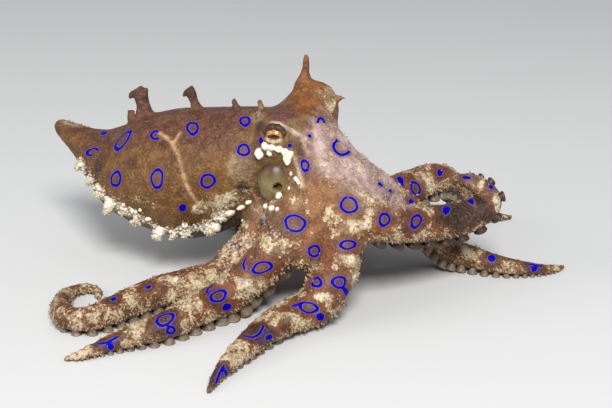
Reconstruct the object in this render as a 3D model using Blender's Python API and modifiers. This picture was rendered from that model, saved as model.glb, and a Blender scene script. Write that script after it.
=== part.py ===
"""A blue-ringed octopus at life size, as a still museum model walks it over a flat floor.

All sizes below are in millimetres and are turned into metres where a mesh is made.
+X points ahead of the animal, +Y to its left and +Z up; the floor is at zero height.
The body is modelled whole and parted by thin cuts into the pieces that a person would name.
"""
import math
from collections import namedtuple

import bmesh
import bpy
import numpy as np
from mathutils import Matrix, Vector

MM = 0.001
GAP = 0.3

# The routes below are measured from the floor under the head; this shift puts the origin
# under the middle of the whole animal
FRAME_SHIFT = (5.3, -1.6, 0.0)

# The eyes, with the middle of each ball and the way that it looks
EYE_RADIUS = 1.9
EyePlan = namedtuple("EyePlan", "name place look")
EYES = (
    EyePlan("eye_right", (0.1, -6.65, 29.3), (0.2, -0.9, 0.4)),
    EyePlan("eye_left", (0.9, 8.9, 30.7), (0.2, 0.9, 0.3)),
)
EYE_SIDES = (14, 9)
LID_RADIUS = 1.5
LID_THICKNESS = 0.5
LID_REACH = 1.35
LID_STRETCH = (0.85, 1.15)
LID_SIDES = (14, 6)

# The funnel, from its root inside the head to its open end
FUNNEL_ROOT = (-1.6, -4.4, 21.6)
FUNNEL_END = (1.5, -8.8, 21.0)
FUNNEL_SIDES = 14
FUNNEL_BORE = 0.75
FUNNEL_BORE_DEPTH = 2.2
BORE_OVERSHOOT = 1.5
BORE_SIDES = 10

# The funnel's sections: the share of its length, half width and half height
FUNNEL_SECTIONS = ((0.0, 2.4, 2.9), (0.35, 3.0, 3.8), (0.7, 2.9, 3.7), (0.9, 2.1, 2.6),
                   (1.0, 1.2, 1.3))

# Where the whole body is parted: a place on each cut and its normal, the lowest height that
# the neck's cut reaches, and how far round an arm's line the crown is trimmed along it
NECK_CUT = ((-7.0, 0.0, 22.0), (1.0, 0.0, -0.05))
NECK_FOOT = 9.6
CROWN_CUT = ((3.5, 0.0, 18.6), (0.5, 0.0, -0.87))
ROOT_CUTTER = ((0.0, 1.35), (2.5, 1.35), (4.5, 1.12), (7.0, 1.12), (9.5, 1.12))
ROOT_CUTTER_SIDES = 20
CUTTER_SIZE = 160.0

# The arms' sizes
ARM_ROOT_RADIUS = 3.5
ARM_TIP_RADIUS = 0.45
ARM_UNDERSIDE = 0.8
ARM_SIDES = 8
ARM_STEP = 2.1
SUCKER_SHARE = 0.43
SUCKER_HEIGHT = 0.28
SUCKER_SINK = 0.12
SUCKER_SPREAD = 36.0
SUCKER_SPACING = (1.9, 1.25)
SUCKER_SIDES = 6
SUCKER_TURN = 0.23
SUCKER_ROOM = 0.6
SUCKER_STAGGER = 0.25
FIRST_SUCKER = 0.9
LAST_SUCKER = 1.2

# A sucker's stem: how deep in the arm it starts and how wide it is there, as shares of the
# arm's radius and the rim's; and how deep its cup is, as a share of the rim's radius
STEM_START = 0.5
STEM_WIDTH = 0.8
CUP_DEPTH = 0.5

# How much wider than its arm a root is at the root plane and, more, at its inner end
CROWN_ROOT_WIDTH = 1.05
CROWN_ROOT_FLARE = 0.28
CROWN_ROOT_RINGS = 9

# The trunk's surface
MANTLE_SIDES = 28
TUBE_SIDES = 16
BULGE_SIDES = (24, 14)
VOXEL = 0.75
WEB_ROUNDS = 45
REAR_OF_WEB = -3.0
WEB_FADE = 4.0
ROOT_OVERSHOOT = 1.2
TRUNK_SMOOTHING = 9
TRUNK_FACES = 3400

# The rounded forms under the skin
Bulge = namedtuple("Bulge", "name centre half")
BULGES = (
    Bulge("skull", (-0.2, 0.2, 25.4), (8.2, 8.4, 7.4)),
    Bulge("near_dome", (-0.3, -4.9, 28.3), (4.2, 3.9, 3.9)),
    Bulge("far_dome", (-0.1, 6.7, 30.3), (4.7, 4.4, 5.1)),
    Bulge("far_dome_flank", (-0.6, 4.0, 28.6), (5.2, 4.6, 5.0)),
    Bulge("crown_core", (4.2, 0.0, 17.4), (8.2, 9.0, 7.8)),
)

# The thick parts of the web between the arms, each along a line of places with a radius
FRONT_WEB = ((3.0, 0.5, 25.6, 5.6), (8.6, 0.3, 21.6, 4.6), (14.4, 0.8, 17.6, 4.0),
             (16.4, 1.0, 17.0, 3.2))
LEFT_WEB = ((4.0, 3.0, 22.0, 5.0), (8.0, 6.0, 17.4, 4.2), (9.6, 8.4, 15.4, 3.4))
NEAR_WEB = ((5.5, -5.0, 16.0, 4.5), (7.4, -9.4, 11.6, 3.0), (7.4, -11.8, 8.8, 2.0))

SKIN = (0.62, 0.33, 0.15, 1.0)
OLIVE_SKIN = (0.45, 0.36, 0.18, 1.0)
EYE_COLOUR = (0.35, 0.24, 0.08, 1.0)

# A station of the mantle: place along the body, height of its middle, half width and half height
Station = namedtuple("Station", "x z half_width half_height")
MANTLE = (
    Station(-51.2, 21.6, 0.9, 0.9),
    Station(-50.0, 21.3, 1.7, 1.8),
    Station(-46.7, 19.8, 2.6, 2.7),
    Station(-43.6, 18.2, 3.9, 3.7),
    Station(-40.0, 16.6, 6.2, 5.4),
    Station(-35.7, 15.6, 9.0, 8.1),
    Station(-30.1, 16.4, 11.2, 10.2),
    Station(-24.5, 16.9, 12.3, 11.4),
    Station(-19.1, 17.3, 12.4, 11.9),
    Station(-14.4, 18.6, 11.6, 11.4),
    Station(-8.7, 20.8, 9.6, 10.2),
    Station(-4.0, 22.6, 8.2, 8.8),
    Station(0.0, 23.6, 7.0, 7.4),
)

# The white papillae along the lower edge of the mantle, from the tail to the head:
# place along the body, degrees below the middle, length and radius
RIDGE_PAPILLAE = (
    (-42.0, 6.0, 1.7, 0.6), (-38.2, 8.0, 1.2, 0.5), (-34.6, 10.0, 1.4, 0.55),
    (-31.6, 20.0, 2.5, 0.85), (-28.6, 24.0, 1.2, 0.5), (-25.6, 28.0, 1.7, 0.6),
    (-21.9, 40.0, 2.3, 0.85), (-18.9, 43.0, 1.1, 0.45), (-16.4, 42.0, 1.7, 0.6),
    (-12.0, 46.0, 2.2, 0.85), (-9.6, 38.0, 1.3, 0.5),
)

# How far a ridge papilla leans back and down, how deep it is rooted, and its waist as a share
# of its radius
RIDGE_LEAN = (-0.15, 0.0, -0.45)
RIDGE_ROOT_DEPTH = 1.1
RIDGE_WAIST = 0.8

# Free papillae: base, tip, and the radius at the base, the waist and the head; then the
# shares of a papilla's length where its waist and head are, and the width of its blunt end
Papilla = namedtuple("Papilla", "base tip radii")
PAPILLA_WAIST = 0.45
PAPILLA_HEAD = 0.8
PAPILLA_END = 0.5
PAPILLA_SIDES = 5
MANTLE_HORNS = (
    Papilla((-30.5, 0.0, 25.6), (-31.5, 0.0, 31.2), (1.9, 1.2, 1.6)),
    Papilla((-19.3, 0.0, 28.4), (-20.9, 0.0, 32.9), (1.4, 0.8, 1.2)),
    Papilla((-12.0, 0.6, 29.8), (-12.3, 0.6, 32.1), (0.9, 0.5, 0.45)),
)
HEAD_HORNS = (
    Papilla((-1.8, 6.7, 34.0), (-1.5, 7.0, 39.7), (1.9, 0.65, 0.6)),
    Papilla((3.4, 7.2, 32.5), (6.4, 7.6, 32.9), (0.6, 0.45, 0.25)),
    Papilla((-4.4, -3.3, 30.8), (-4.6, -3.8, 34.2), (1.2, 0.65, 0.4)),
)

# An arm's route: the points inside the crown, then the free ones from the root plane to the
# tip. A free point at floor height is lifted until the arm lies on its suckers. Fullness
# says how far out the arm stays thick, and the cuts are shares of the free arm's length.
ArmPlan = namedtuple("ArmPlan", "inner free fullness lengths cuts")
THREE_LENGTHS = ("root", "middle", "tip")
FOUR_LENGTHS = ("root", "middle", "outer", "tip")
THIRDS = (1 / 3, 2 / 3)
QUARTERS = (0.25, 0.5, 0.75)
CURLED_END = (0.3, 0.6, 0.86)
FLOOR = -3.0
ARMS = {
    "arm_r1": ArmPlan(
        ((4.0, -3.0, 22.5), (11.0, -4.2, 18.8)),
        ((16.8, -2.9, 15.6), (20.6, 4.2, 13.2), (24.0, 10.0, 12.1), (27.2, 13.8, 12.2),
         (29.6, 15.6, 14.2), (29.6, 15.8, 17.0), (27.2, 16.4, 18.4), (24.4, 17.4, 18.2),
         (22.0, 18.8, 17.4)),
        3.0, FOUR_LENGTHS, CURLED_END),
    "arm_r2": ArmPlan(
        ((5.0, -4.5, 19.5), (10.0, -5.9, 16.0)),
        ((12.7, -7.6, 12.3), (12.9, -10.2, 8.2), (12.0, -13.1, 4.6), (9.6, -16.4, FLOOR),
         (8.0, -20.8, FLOOR), (7.1, -26.3, FLOOR), (6.9, -32.4, FLOOR), (7.0, -37.6, FLOOR),
         (7.8, -41.6, FLOOR)),
        2.0, THREE_LENGTHS, THIRDS),
    "arm_r3": ArmPlan(
        ((2.5, -3.5, 19.0), (3.4, -7.5, 15.3)),
        ((3.0, -11.0, 12.0), (1.0, -13.5, 8.2), (-2.0, -16.0, 5.0), (-4.2, -19.6, FLOOR),
         (-6.0, -24.9, FLOOR), (-7.7, -30.2, FLOOR), (-10.7, -34.0, FLOOR),
         (-13.3, -37.8, FLOOR), (-15.2, -41.0, FLOOR), (-17.3, -43.4, FLOOR)),
        2.3, THREE_LENGTHS, THIRDS),
    "arm_r4": ArmPlan(
        ((-0.5, -2.5, 15.5), (-2.8, -4.8, 12.4)),
        ((-4.2, -6.6, 8.9), (-6.8, -9.6, 5.4), (-9.6, -13.2, FLOOR), (-12.4, -17.2, FLOOR),
         (-15.2, -20.9, FLOOR), (-17.0, -24.9, FLOOR), (-18.4, -29.4, FLOOR),
         (-20.4, -33.2, FLOOR), (-23.9, -34.0, FLOOR), (-28.0, -30.6, FLOOR),
         (-30.9, -25.4, FLOOR), (-30.4, -21.2, FLOOR), (-27.8, -20.6, FLOOR),
         (-26.2, -22.6, FLOOR)),
        1.7, FOUR_LENGTHS, QUARTERS),
    "arm_l1": ArmPlan(
        ((4.0, 3.5, 22.5), (9.0, 5.5, 19.0)),
        ((13.0, 9.0, 14.8), (15.8, 13.6, 10.4), (18.6, 17.6, 6.2), (23.3, 19.4, FLOOR),
         (29.0, 19.8, FLOOR), (34.1, 21.4, FLOOR), (38.0, 24.3, FLOOR), (40.0, 27.8, FLOOR)),
        1.7, THREE_LENGTHS, THIRDS),
    "arm_l2": ArmPlan(
        ((3.0, 5.0, 19.0), (5.4, 9.5, 15.6)),
        ((7.8, 14.0, 12.6), (11.2, 20.6, 12.2), (14.3, 28.0, 13.2), (15.8, 34.0, 9.6),
         (17.2, 39.0, 3.6), (19.6, 43.4, FLOOR), (23.2, 46.6, FLOOR)),
        1.7, THREE_LENGTHS, THIRDS),
    "arm_l3": ArmPlan(
        ((1.5, 4.5, 18.0), (2.0, 9.0, 14.0)),
        ((1.4, 13.2, 10.0), (-0.4, 18.0, 6.0), (-4.0, 23.4, 3.0), (-9.0, 28.4, FLOOR),
         (-15.0, 32.4, FLOOR), (-22.0, 35.4, FLOOR), (-29.0, 36.8, FLOOR),
         (-35.0, 36.4, FLOOR)),
        1.7, THREE_LENGTHS, THIRDS),
    "arm_l4": ArmPlan(
        ((-0.5, 2.5, 15.5), (-2.8, 5.0, 12.4)),
        ((-4.2, 6.6, 8.9), (-6.9, 9.8, 5.4), (-11.6, 13.6, FLOOR), (-18.4, 16.8, FLOOR),
         (-26.0, 19.0, FLOOR), (-33.0, 19.4, FLOOR), (-39.5, 18.2, FLOOR),
         (-45.0, 15.6, FLOOR)),
        1.7, THREE_LENGTHS, THIRDS),
}


def unit(vector):
    return vector / np.linalg.norm(vector)


def clear_scene():
    for item in list(bpy.data.objects):
        bpy.data.objects.remove(item)


def new_collection(name):
    collection = bpy.data.collections.new(name)
    bpy.context.scene.collection.children.link(collection)
    return collection


def new_material(name, colour, roughness):
    material = bpy.data.materials.new(name)
    material.use_nodes = True
    shader = material.node_tree.nodes["Principled BSDF"]
    shader.inputs["Base Color"].default_value = colour
    shader.inputs["Roughness"].default_value = roughness
    shader.inputs["Metallic"].default_value = 0.0
    return material


def new_object(name, points, faces, collection, material=None):
    """Make a mesh object from points in millimetres, with its faces pointing out."""
    mesh = bpy.data.meshes.new(name)
    mesh.from_pydata([Vector(point) * MM for point in points], [], faces)
    shape = bmesh.new()
    shape.from_mesh(mesh)
    bmesh.ops.recalc_face_normals(shape, faces=shape.faces[:])
    shape.to_mesh(mesh)
    shape.free()
    item = bpy.data.objects.new(name, mesh)
    collection.objects.link(item)
    if material:
        mesh.materials.append(material)
    return item


def apply_modifiers(item):
    """Put the evaluated mesh in place of the mesh and its modifiers."""
    depsgraph = bpy.context.evaluated_depsgraph_get()
    mesh = bpy.data.meshes.new_from_object(item.evaluated_get(depsgraph))
    item.modifiers.clear()
    item.data = mesh


def keep_largest_surface(item):
    """Delete every closed surface of a mesh but the one with the most faces."""
    shape = bmesh.new()
    shape.from_mesh(item.data)
    left = set(shape.verts)
    islands = []
    while left:
        island = {left.pop()}
        edge_of_island = list(island)
        while edge_of_island:
            vertex = edge_of_island.pop()
            for edge in vertex.link_edges:
                other = edge.other_vert(vertex)
                if other in left:
                    left.remove(other)
                    island.add(other)
                    edge_of_island.append(other)
        islands.append(island)
    islands.sort(key=len)
    for island in islands[:-1]:
        bmesh.ops.delete(shape, geom=list(island), context="VERTS")
    shape.to_mesh(item.data)
    shape.free()


def split_into_triangles(item):
    """Split the faces, with a middle point where a plain split would run along an old edge."""
    shape = bmesh.new()
    shape.from_mesh(item.data)
    trial = shape.copy()
    bmesh.ops.triangulate(trial, faces=trial.faces[:])
    trial.verts.index_update()
    crowded = [{vertex.index for vertex in edge.verts} for edge in trial.edges
               if len(edge.link_faces) > 2]
    trial.free()
    shape.verts.index_update()
    corners = {face: {vertex.index for vertex in face.verts} for face in shape.faces}
    poked = [face for face in shape.faces if len(face.verts) > 3
             and any(pair <= corners[face] for pair in crowded)]
    bmesh.ops.poke(shape, faces=poked)
    bmesh.ops.triangulate(shape, faces=shape.faces[:])
    shape.to_mesh(item.data)
    shape.free()


def combine(base, pieces, operation, solver="MANIFOLD"):
    """Join closed pieces to a base, or cut them from it, in one Boolean, and remove them."""
    group = new_collection("pieces")
    for piece in pieces:
        for owner in list(piece.users_collection):
            owner.objects.unlink(piece)
        group.objects.link(piece)
    modifier = base.modifiers.new("combine", "BOOLEAN")
    modifier.operation = operation
    modifier.operand_type = "COLLECTION"
    modifier.collection = group
    modifier.solver = solver
    apply_modifiers(base)
    for piece in pieces:
        bpy.data.objects.remove(piece)
    bpy.data.collections.remove(group)
    keep_largest_surface(base)
    split_into_triangles(base)


def loft(name, rings, collection, material=None):
    """Skin a row of rings of equal count and close both ends with flat caps."""
    sides = len(rings[0])
    points = [point for ring in rings for point in ring]
    faces = [tuple(reversed(range(sides)))]
    for row in range(len(rings) - 1):
        for side in range(sides):
            after = (side + 1) % sides
            low = row * sides
            high = low + sides
            faces.append((low + side, low + after, high + after, high + side))
    last = (len(rings) - 1) * sides
    faces.append(tuple(range(last, last + sides)))
    return new_object(name, points, faces, collection, material)


def ellipsoid(name, centre, half, collection, sides=BULGE_SIDES):
    """A primitive sphere, stretched and set in its place."""
    shape = bmesh.new()
    bmesh.ops.create_uvsphere(shape, u_segments=sides[0], v_segments=sides[1], radius=1.0)
    points = [np.array(vertex.co) * half + centre for vertex in shape.verts]
    faces = [[vertex.index for vertex in face.verts] for face in shape.faces]
    shape.free()
    return new_object(name, points, faces, collection)


def smooth_path(points, step):
    """Read a smooth curve through the points at even steps along its length."""
    points = np.array(points, dtype=float)
    padded = np.vstack([2 * points[0] - points[1], points, 2 * points[-1] - points[-2]])
    dense = []
    for index in range(1, len(padded) - 2):
        before, start, end, after = padded[index - 1:index + 3]
        for share in np.linspace(0.0, 1.0, 24, endpoint=False):
            dense.append(0.5 * (2 * start + (end - before) * share
                                + (2 * before - 5 * start + 4 * end - after) * share ** 2
                                + (3 * start - before - 3 * end + after) * share ** 3))
    dense.append(points[-1])
    dense = np.array(dense)
    travel = np.concatenate([[0.0], np.cumsum(np.linalg.norm(np.diff(dense, axis=0), axis=1))])
    count = max(2, int(round(travel[-1] / step)) + 1)
    wanted = np.linspace(0.0, travel[-1], count)
    path = np.column_stack([np.interp(wanted, travel, dense[:, axis]) for axis in range(3)])
    return path, wanted


def arm_radius(share, fullness):
    """The arm's radius, where share runs from 0 at the root plane to 1 at the tip."""
    kept = 1.0 - min(1.0, max(0.0, share)) ** fullness
    return ARM_TIP_RADIUS + (ARM_ROOT_RADIUS - ARM_TIP_RADIUS) * kept


def lifted(height, rest, blend=2.0):
    """The greater of two heights, with a soft change from one to the other."""
    nearness = max(0.0, blend - abs(height - rest))
    return max(height, rest) + nearness ** 2 / (4 * blend)


class ArmLine:
    """The middle line of one arm, with its radius and the way its suckers face."""

    def __init__(self, plan):
        self.fullness = plan.fullness
        self.path, self.travel = smooth_path(plan.inner + plan.free, ARM_STEP / 4)
        near_root = np.linalg.norm(self.path - np.array(plan.free[0]), axis=1)
        self.root = self.travel[int(near_root.argmin())]
        self.length = self.travel[-1] - self.root
        self.lift_off_floor()
        self.tangents = np.gradient(self.path, axis=0)
        self.tangents /= np.linalg.norm(self.tangents, axis=1)[:, None]
        self.orals = self.carry_underside()

    def lift_off_floor(self, easing=60):
        """Raise the line to where the arm lies on its suckers, and ease the way down to it."""
        radii = np.array([arm_radius((along - self.root) / self.length, self.fullness)
                          for along in self.travel])
        rest = radii * (ARM_UNDERSIDE + SUCKER_HEIGHT) - SUCKER_SINK
        heights = np.array([lifted(height, low) for height, low in zip(self.path[:, 2], rest)])
        for _ in range(easing):
            heights[1:-1] = (heights[:-2] + 2 * heights[1:-1] + heights[2:]) / 4
            heights = np.maximum(heights, rest)
        self.path[:, 2] = heights

    def carry_underside(self, pull=0.06):
        """Carry the underside's direction along the arm, drawn gently towards the floor."""
        down = np.array([0.0, 0.0, -1.0])
        oral = down
        orals = []
        for tangent in self.tangents:
            oral = oral + pull * down
            oral = unit(oral - tangent * oral.dot(tangent))
            orals.append(oral)
        return np.array(orals)

    def at(self, along):
        """Place, direction, underside and radius at a length from the root plane."""
        where = along + self.root
        place = np.array([np.interp(where, self.travel, self.path[:, axis]) for axis in range(3)])
        tangent = unit(np.array(
            [np.interp(where, self.travel, self.tangents[:, axis]) for axis in range(3)]))
        oral = np.array([np.interp(where, self.travel, self.orals[:, axis]) for axis in range(3)])
        oral = unit(oral - tangent * oral.dot(tangent))
        return place, tangent, oral, arm_radius(along / self.length, self.fullness)


def arm_ring(line, along, sides=ARM_SIDES):
    """One section of an arm, round above and flatter below."""
    place, tangent, oral, radius = line.at(along)
    side = np.cross(oral, tangent)
    ring = []
    for index in range(sides):
        angle = 2 * math.pi * (index + 0.5) / sides
        depth = math.cos(angle) * (ARM_UNDERSIDE if math.cos(angle) > 0 else 1.0)
        ring.append(place + radius * (depth * oral + math.sin(angle) * side))
    return ring


def sucker(line, along, row, collection):
    """One sucker: a short stem, wider at its rim, with a hollow cup. Row is -1 or 1."""
    place, tangent, oral, radius = line.at(along)
    side = np.cross(oral, tangent)
    reach = radius * (ARM_UNDERSIDE + SUCKER_HEIGHT)
    spread = row * radius * ARM_UNDERSIDE * math.sin(math.radians(SUCKER_SPREAD))
    rim_radius = radius * SUCKER_SHARE
    stops = ((STEM_START * radius, STEM_WIDTH), (reach, 1.0))
    rings = []
    for depth, share in stops:
        centre = place + oral * depth + side * spread
        rings.append([centre + rim_radius * share * (math.cos(angle) * tangent
                                                     + math.sin(angle) * side)
                      for angle in SUCKER_TURN + np.arange(SUCKER_SIDES) * 2 * math.pi
                      / SUCKER_SIDES])
    cup = place + oral * (reach - CUP_DEPTH * rim_radius) + side * spread
    points = [point for ring in rings for point in ring] + [cup]
    faces = [tuple(range(SUCKER_SIDES))]
    for index in range(SUCKER_SIDES):
        after = (index + 1) % SUCKER_SIDES
        rim, rim_after = index + SUCKER_SIDES, after + SUCKER_SIDES
        faces.append((after, index, rim, rim_after))
        faces.append((rim_after, rim, len(points) - 1))
    return new_object("sucker", points, faces, collection)


def sucker_places(line):
    """Lengths along the arm where its pairs of suckers sit, closer towards the tip."""
    along = FIRST_SUCKER
    places = []
    while along < line.length - LAST_SUCKER:
        places.append(along)
        radius = arm_radius(along / line.length, line.fullness)
        along += SUCKER_SPACING[0] + SUCKER_SPACING[1] * radius
    return places


def arm_length(name, line, start, end, collection, material):
    """One length of an arm, with its two rows of suckers."""
    count = max(3, int(round((end - start) / ARM_STEP)) + 1)
    rings = [arm_ring(line, along) for along in np.linspace(start, end, count)]
    rings[0] = [point + GAP / 2 * line.at(start)[1] for point in rings[0]]
    if end < line.length:
        rings[-1] = [point - GAP / 2 * line.at(end)[1] for point in rings[-1]]
    length = loft(name, rings, collection, material)
    suckers = []
    for along in sucker_places(line):
        for row in (-1, 1):
            radius = arm_radius(along / line.length, line.fullness)
            shifted = along + SUCKER_STAGGER * row * radius
            room = SUCKER_SHARE * radius + SUCKER_ROOM
            if start + room < shifted < end - room:
                suckers.append(sucker(line, shifted, row, collection))
    if suckers:
        combine(length, suckers, "UNION")
    if min(vertex.co.z for vertex in length.data.vertices) < 0.0:
        combine(length, [below_floor(collection)], "DIFFERENCE")
    return length


def below_floor(collection):
    """A block whose top is the floor, to cut the suckers' small flats."""
    return half_space((0.0, 0.0, 0.0), (0.0, 0.0, -1.0), collection)


def half_space(place, normal, collection):
    """A block with one face on the plane through the place, on the side of the normal."""
    shape = bmesh.new()
    bmesh.ops.create_cube(shape, size=CUTTER_SIZE)
    normal = Vector(normal).normalized()
    turn = normal.to_track_quat("Z", "Y").to_matrix().to_4x4()
    move = Matrix.Translation(Vector(place) + normal * CUTTER_SIZE / 2)
    bmesh.ops.transform(shape, matrix=move @ turn, verts=shape.verts)
    points = [vertex.co.copy() for vertex in shape.verts]
    faces = [[vertex.index for vertex in face.verts] for face in shape.faces]
    shape.free()
    return new_object("half_space", points, faces, collection)


def make_arm(name, plan, line, collection, material):
    cuts = line.length * np.array((0.0,) + plan.cuts + (1.0,))
    for index, part in enumerate(plan.lengths):
        arm_length(name + "_" + part, line, cuts[index], cuts[index + 1], collection, material)


def mantle_body(collection):
    """The sack of the mantle, from its pointed tip to inside the head."""
    rings = []
    for station in MANTLE:
        ring = []
        for index in range(MANTLE_SIDES):
            angle = 2 * math.pi * index / MANTLE_SIDES
            ring.append((station.x, station.half_width * math.cos(angle),
                         station.z + station.half_height * math.sin(angle)))
        rings.append(ring)
    return loft("mantle_body", rings, collection)


def tapered_tube(name, stops, collection, sides=TUBE_SIDES):
    """A tube through a few places, each with its own radius."""
    places, _ = smooth_path([stop[:3] for stop in stops], ARM_STEP)
    shares = np.linspace(0.0, len(stops) - 1, len(places))
    radii = np.interp(shares, range(len(stops)), [stop[3] for stop in stops])
    tangents = np.gradient(places, axis=0)
    rings = []
    for place, tangent, radius in zip(places, tangents, radii):
        tangent = unit(tangent)
        across = unit(np.cross(tangent, (0.31, 0.94, 0.12)))
        around = np.cross(tangent, across)
        rings.append([place + radius * (math.cos(angle) * across + math.sin(angle) * around)
                      for angle in np.linspace(0, 2 * math.pi, sides, endpoint=False)])
    return loft(name, rings, collection)


def crown_root(line, collection):
    """The root of one arm inside the crown, a little past the plane where the arm starts."""
    rings = []
    for along in np.linspace(-line.root, ROOT_OVERSHOOT, CROWN_ROOT_RINGS):
        place, tangent, oral, _ = line.at(along)
        flare = CROWN_ROOT_FLARE * max(0.0, -along) / line.root
        radius = ARM_ROOT_RADIUS * (CROWN_ROOT_WIDTH + flare)
        side = np.cross(oral, tangent)
        rings.append([place + radius * (math.cos(angle) * oral + math.sin(angle) * side)
                      for angle in np.linspace(0, 2 * math.pi, TUBE_SIDES, endpoint=False)])
    return loft("crown_root", rings, collection)


def fill_creases(item, rounds, rear_limit):
    """Draw the hollows between the arms outwards, as the web does, and leave the ridges."""
    mesh = item.data
    count = len(mesh.vertices)
    places = np.empty(count * 3)
    mesh.vertices.foreach_get("co", places)
    places = places.reshape(-1, 3) / MM
    ends = np.array([edge.vertices[:] for edge in mesh.edges])
    valence = np.bincount(ends.ravel(), minlength=count)[:, None]
    faces = np.array([face.vertices[:] for face in mesh.polygons])
    free = np.clip((places[:, 0] - rear_limit) / WEB_FADE, 0.0, 1.0)
    for _ in range(rounds):
        total = np.zeros_like(places)
        for axis in range(3):
            total[:, axis] = (np.bincount(ends[:, 0], places[ends[:, 1], axis], count)
                              + np.bincount(ends[:, 1], places[ends[:, 0], axis], count))
        drift = total / valence - places
        corners = places[faces]
        crosses = np.cross(corners[:, 2] - corners[:, 0], corners[:, 3] - corners[:, 1])
        normals = np.zeros_like(places)
        for corner in range(4):
            for axis in range(3):
                normals[:, axis] += np.bincount(faces[:, corner], crosses[:, axis], count)
        normals /= np.linalg.norm(normals, axis=1)[:, None]
        outward = np.clip((drift * normals).sum(axis=1), 0.0, None)
        places += normals * (outward * free)[:, None]
    mesh.vertices.foreach_set("co", (places * MM).ravel())
    mesh.update()


def trunk_pieces(lines, collection):
    """The closed forms that make up mantle, head and crown."""
    pieces = [mantle_body(collection)]
    pieces += [ellipsoid(*bulge, collection) for bulge in BULGES]
    pieces += [tapered_tube("web", stops, collection) for stops in (FRONT_WEB, LEFT_WEB, NEAR_WEB)]
    return pieces + [crown_root(line, collection) for line in lines.values()]


def make_trunk(lines, collection):
    """Mantle, head and crown as one smooth skin, with web between the arms."""
    pieces = trunk_pieces(lines, collection)
    trunk = pieces[0]
    combine(trunk, pieces[1:], "UNION")
    remesh = trunk.modifiers.new("remesh", "REMESH")
    remesh.mode = "VOXEL"
    remesh.voxel_size = VOXEL * MM
    apply_modifiers(trunk)
    fill_creases(trunk, WEB_ROUNDS, REAR_OF_WEB)
    smooth = trunk.modifiers.new("smooth", "SMOOTH")
    smooth.iterations = TRUNK_SMOOTHING
    smooth.factor = 0.5
    thin = trunk.modifiers.new("thin", "DECIMATE")
    thin.ratio = TRUNK_FACES / (2.0 * len(trunk.data.polygons))
    apply_modifiers(trunk)
    return trunk


def copy_of(item, name, collection, material):
    twin = bpy.data.objects.new(name, item.data.copy())
    twin.data.materials.clear()
    twin.data.materials.append(material)
    collection.objects.link(twin)
    return twin


def offset(cut, distance):
    """A cut's place, moved along its normal."""
    place, normal = cut
    return np.array(place) + distance * unit(np.array(normal))


def behind_neck(collection):
    """A block that takes away the mantle and leaves the arms that pass under it."""
    normal = NECK_CUT[1]
    start = offset(NECK_CUT, GAP / 2)
    across = CUTTER_SIZE / 2
    tilt = normal[2] / normal[0]
    points = []
    for x_shift, height in ((0.0, NECK_FOOT), (-CUTTER_SIZE, NECK_FOOT),
                            (-CUTTER_SIZE, across), (0.0, across)):
        x = start[0] - tilt * (height - start[2]) + x_shift
        points += [(x, -across, height), (x, across, height)]
    faces = [(6, 4, 2, 0), (3, 5, 7, 1), (2, 3, 1, 0), (4, 5, 3, 2), (6, 7, 5, 4), (0, 1, 7, 6)]
    return new_object("behind_neck", points, faces, collection)


def root_cutter(line, collection):
    """A block that trims the crown flat where an arm starts and keeps it clear of the arm."""
    rings = []
    for along, share in ROOT_CUTTER:
        place, tangent, oral, radius = line.at(along)
        if along == 0.0:
            place = place - GAP / 2 * tangent
        side = np.cross(oral, tangent)
        rings.append([place + radius * share * (math.cos(angle) * oral + math.sin(angle) * side)
                      for angle in np.linspace(0, 2 * math.pi, ROOT_CUTTER_SIDES, endpoint=False)])
    return loft("root_cutter", rings, collection)


def papilla(plan, collection):
    """A blunt skin spike with a waist and a rounded head."""
    base, tip = np.array(plan.base, dtype=float), np.array(plan.tip, dtype=float)
    axis = unit(tip - base)
    across = unit(np.cross(axis, (0.3, 0.9, 0.2)))
    around = np.cross(axis, across)
    root, waist, head = plan.radii
    rings = []
    stops = ((0.0, root), (PAPILLA_WAIST, waist), (PAPILLA_HEAD, head), (1.0, PAPILLA_END * head))
    for share, radius in stops:
        centre = base + (tip - base) * share
        rings.append([centre + radius * (math.cos(angle) * across + math.sin(angle) * around)
                      for angle in np.linspace(0, 2 * math.pi, PAPILLA_SIDES, endpoint=False)])
    return loft("papilla", rings, collection)


def mantle_place(x, below, side):
    """Where the mantle's skin is at a place along it and degrees below its middle."""
    stations = list(zip(*MANTLE))
    middle = np.interp(x, stations[0], stations[1])
    half_width = np.interp(x, stations[0], stations[2])
    half_height = np.interp(x, stations[0], stations[3])
    angle = math.radians(below)
    place = np.array([x, side * half_width * math.cos(angle),
                      middle - half_height * math.sin(angle)])
    out = unit(np.array([0.0, side * math.cos(angle) / half_width,
                         -math.sin(angle) / half_height]))
    return place, out


def ridge_papillae(collection):
    """The two rows of white papillae along the lower edges of the mantle."""
    pieces = []
    for side in (-1, 1):
        for x, below, length, radius in RIDGE_PAPILLAE:
            place, out = mantle_place(x, below, side)
            lean = unit(out + np.array(RIDGE_LEAN))
            plan = Papilla(place - RIDGE_ROOT_DEPTH * out, place + length * lean,
                           (radius, RIDGE_WAIST * radius, radius))
            pieces.append(papilla(plan, collection))
    return pieces


def lid(plan, collection):
    """The raised fold of skin around one eye, longer than it is high."""
    look = Vector(plan.look).normalized()
    bpy.ops.mesh.primitive_torus_add(major_radius=LID_RADIUS, minor_radius=LID_THICKNESS,
                                     major_segments=LID_SIDES[0], minor_segments=LID_SIDES[1])
    ring = bpy.context.object
    centre = Vector(plan.place) + look * LID_REACH
    turn = look.to_track_quat("Z", "X").to_matrix().to_4x4()
    stretch = Matrix.Diagonal((MM * LID_STRETCH[0], MM * LID_STRETCH[1], MM, 1.0))
    ring.matrix_world = Matrix.Translation(centre * MM) @ turn @ stretch
    bpy.context.view_layer.update()
    points = [ring.matrix_world @ vertex.co / MM for vertex in ring.data.vertices]
    faces = [polygon.vertices[:] for polygon in ring.data.polygons]
    bpy.data.objects.remove(ring)
    return new_object("lid", points, faces, collection)


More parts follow.
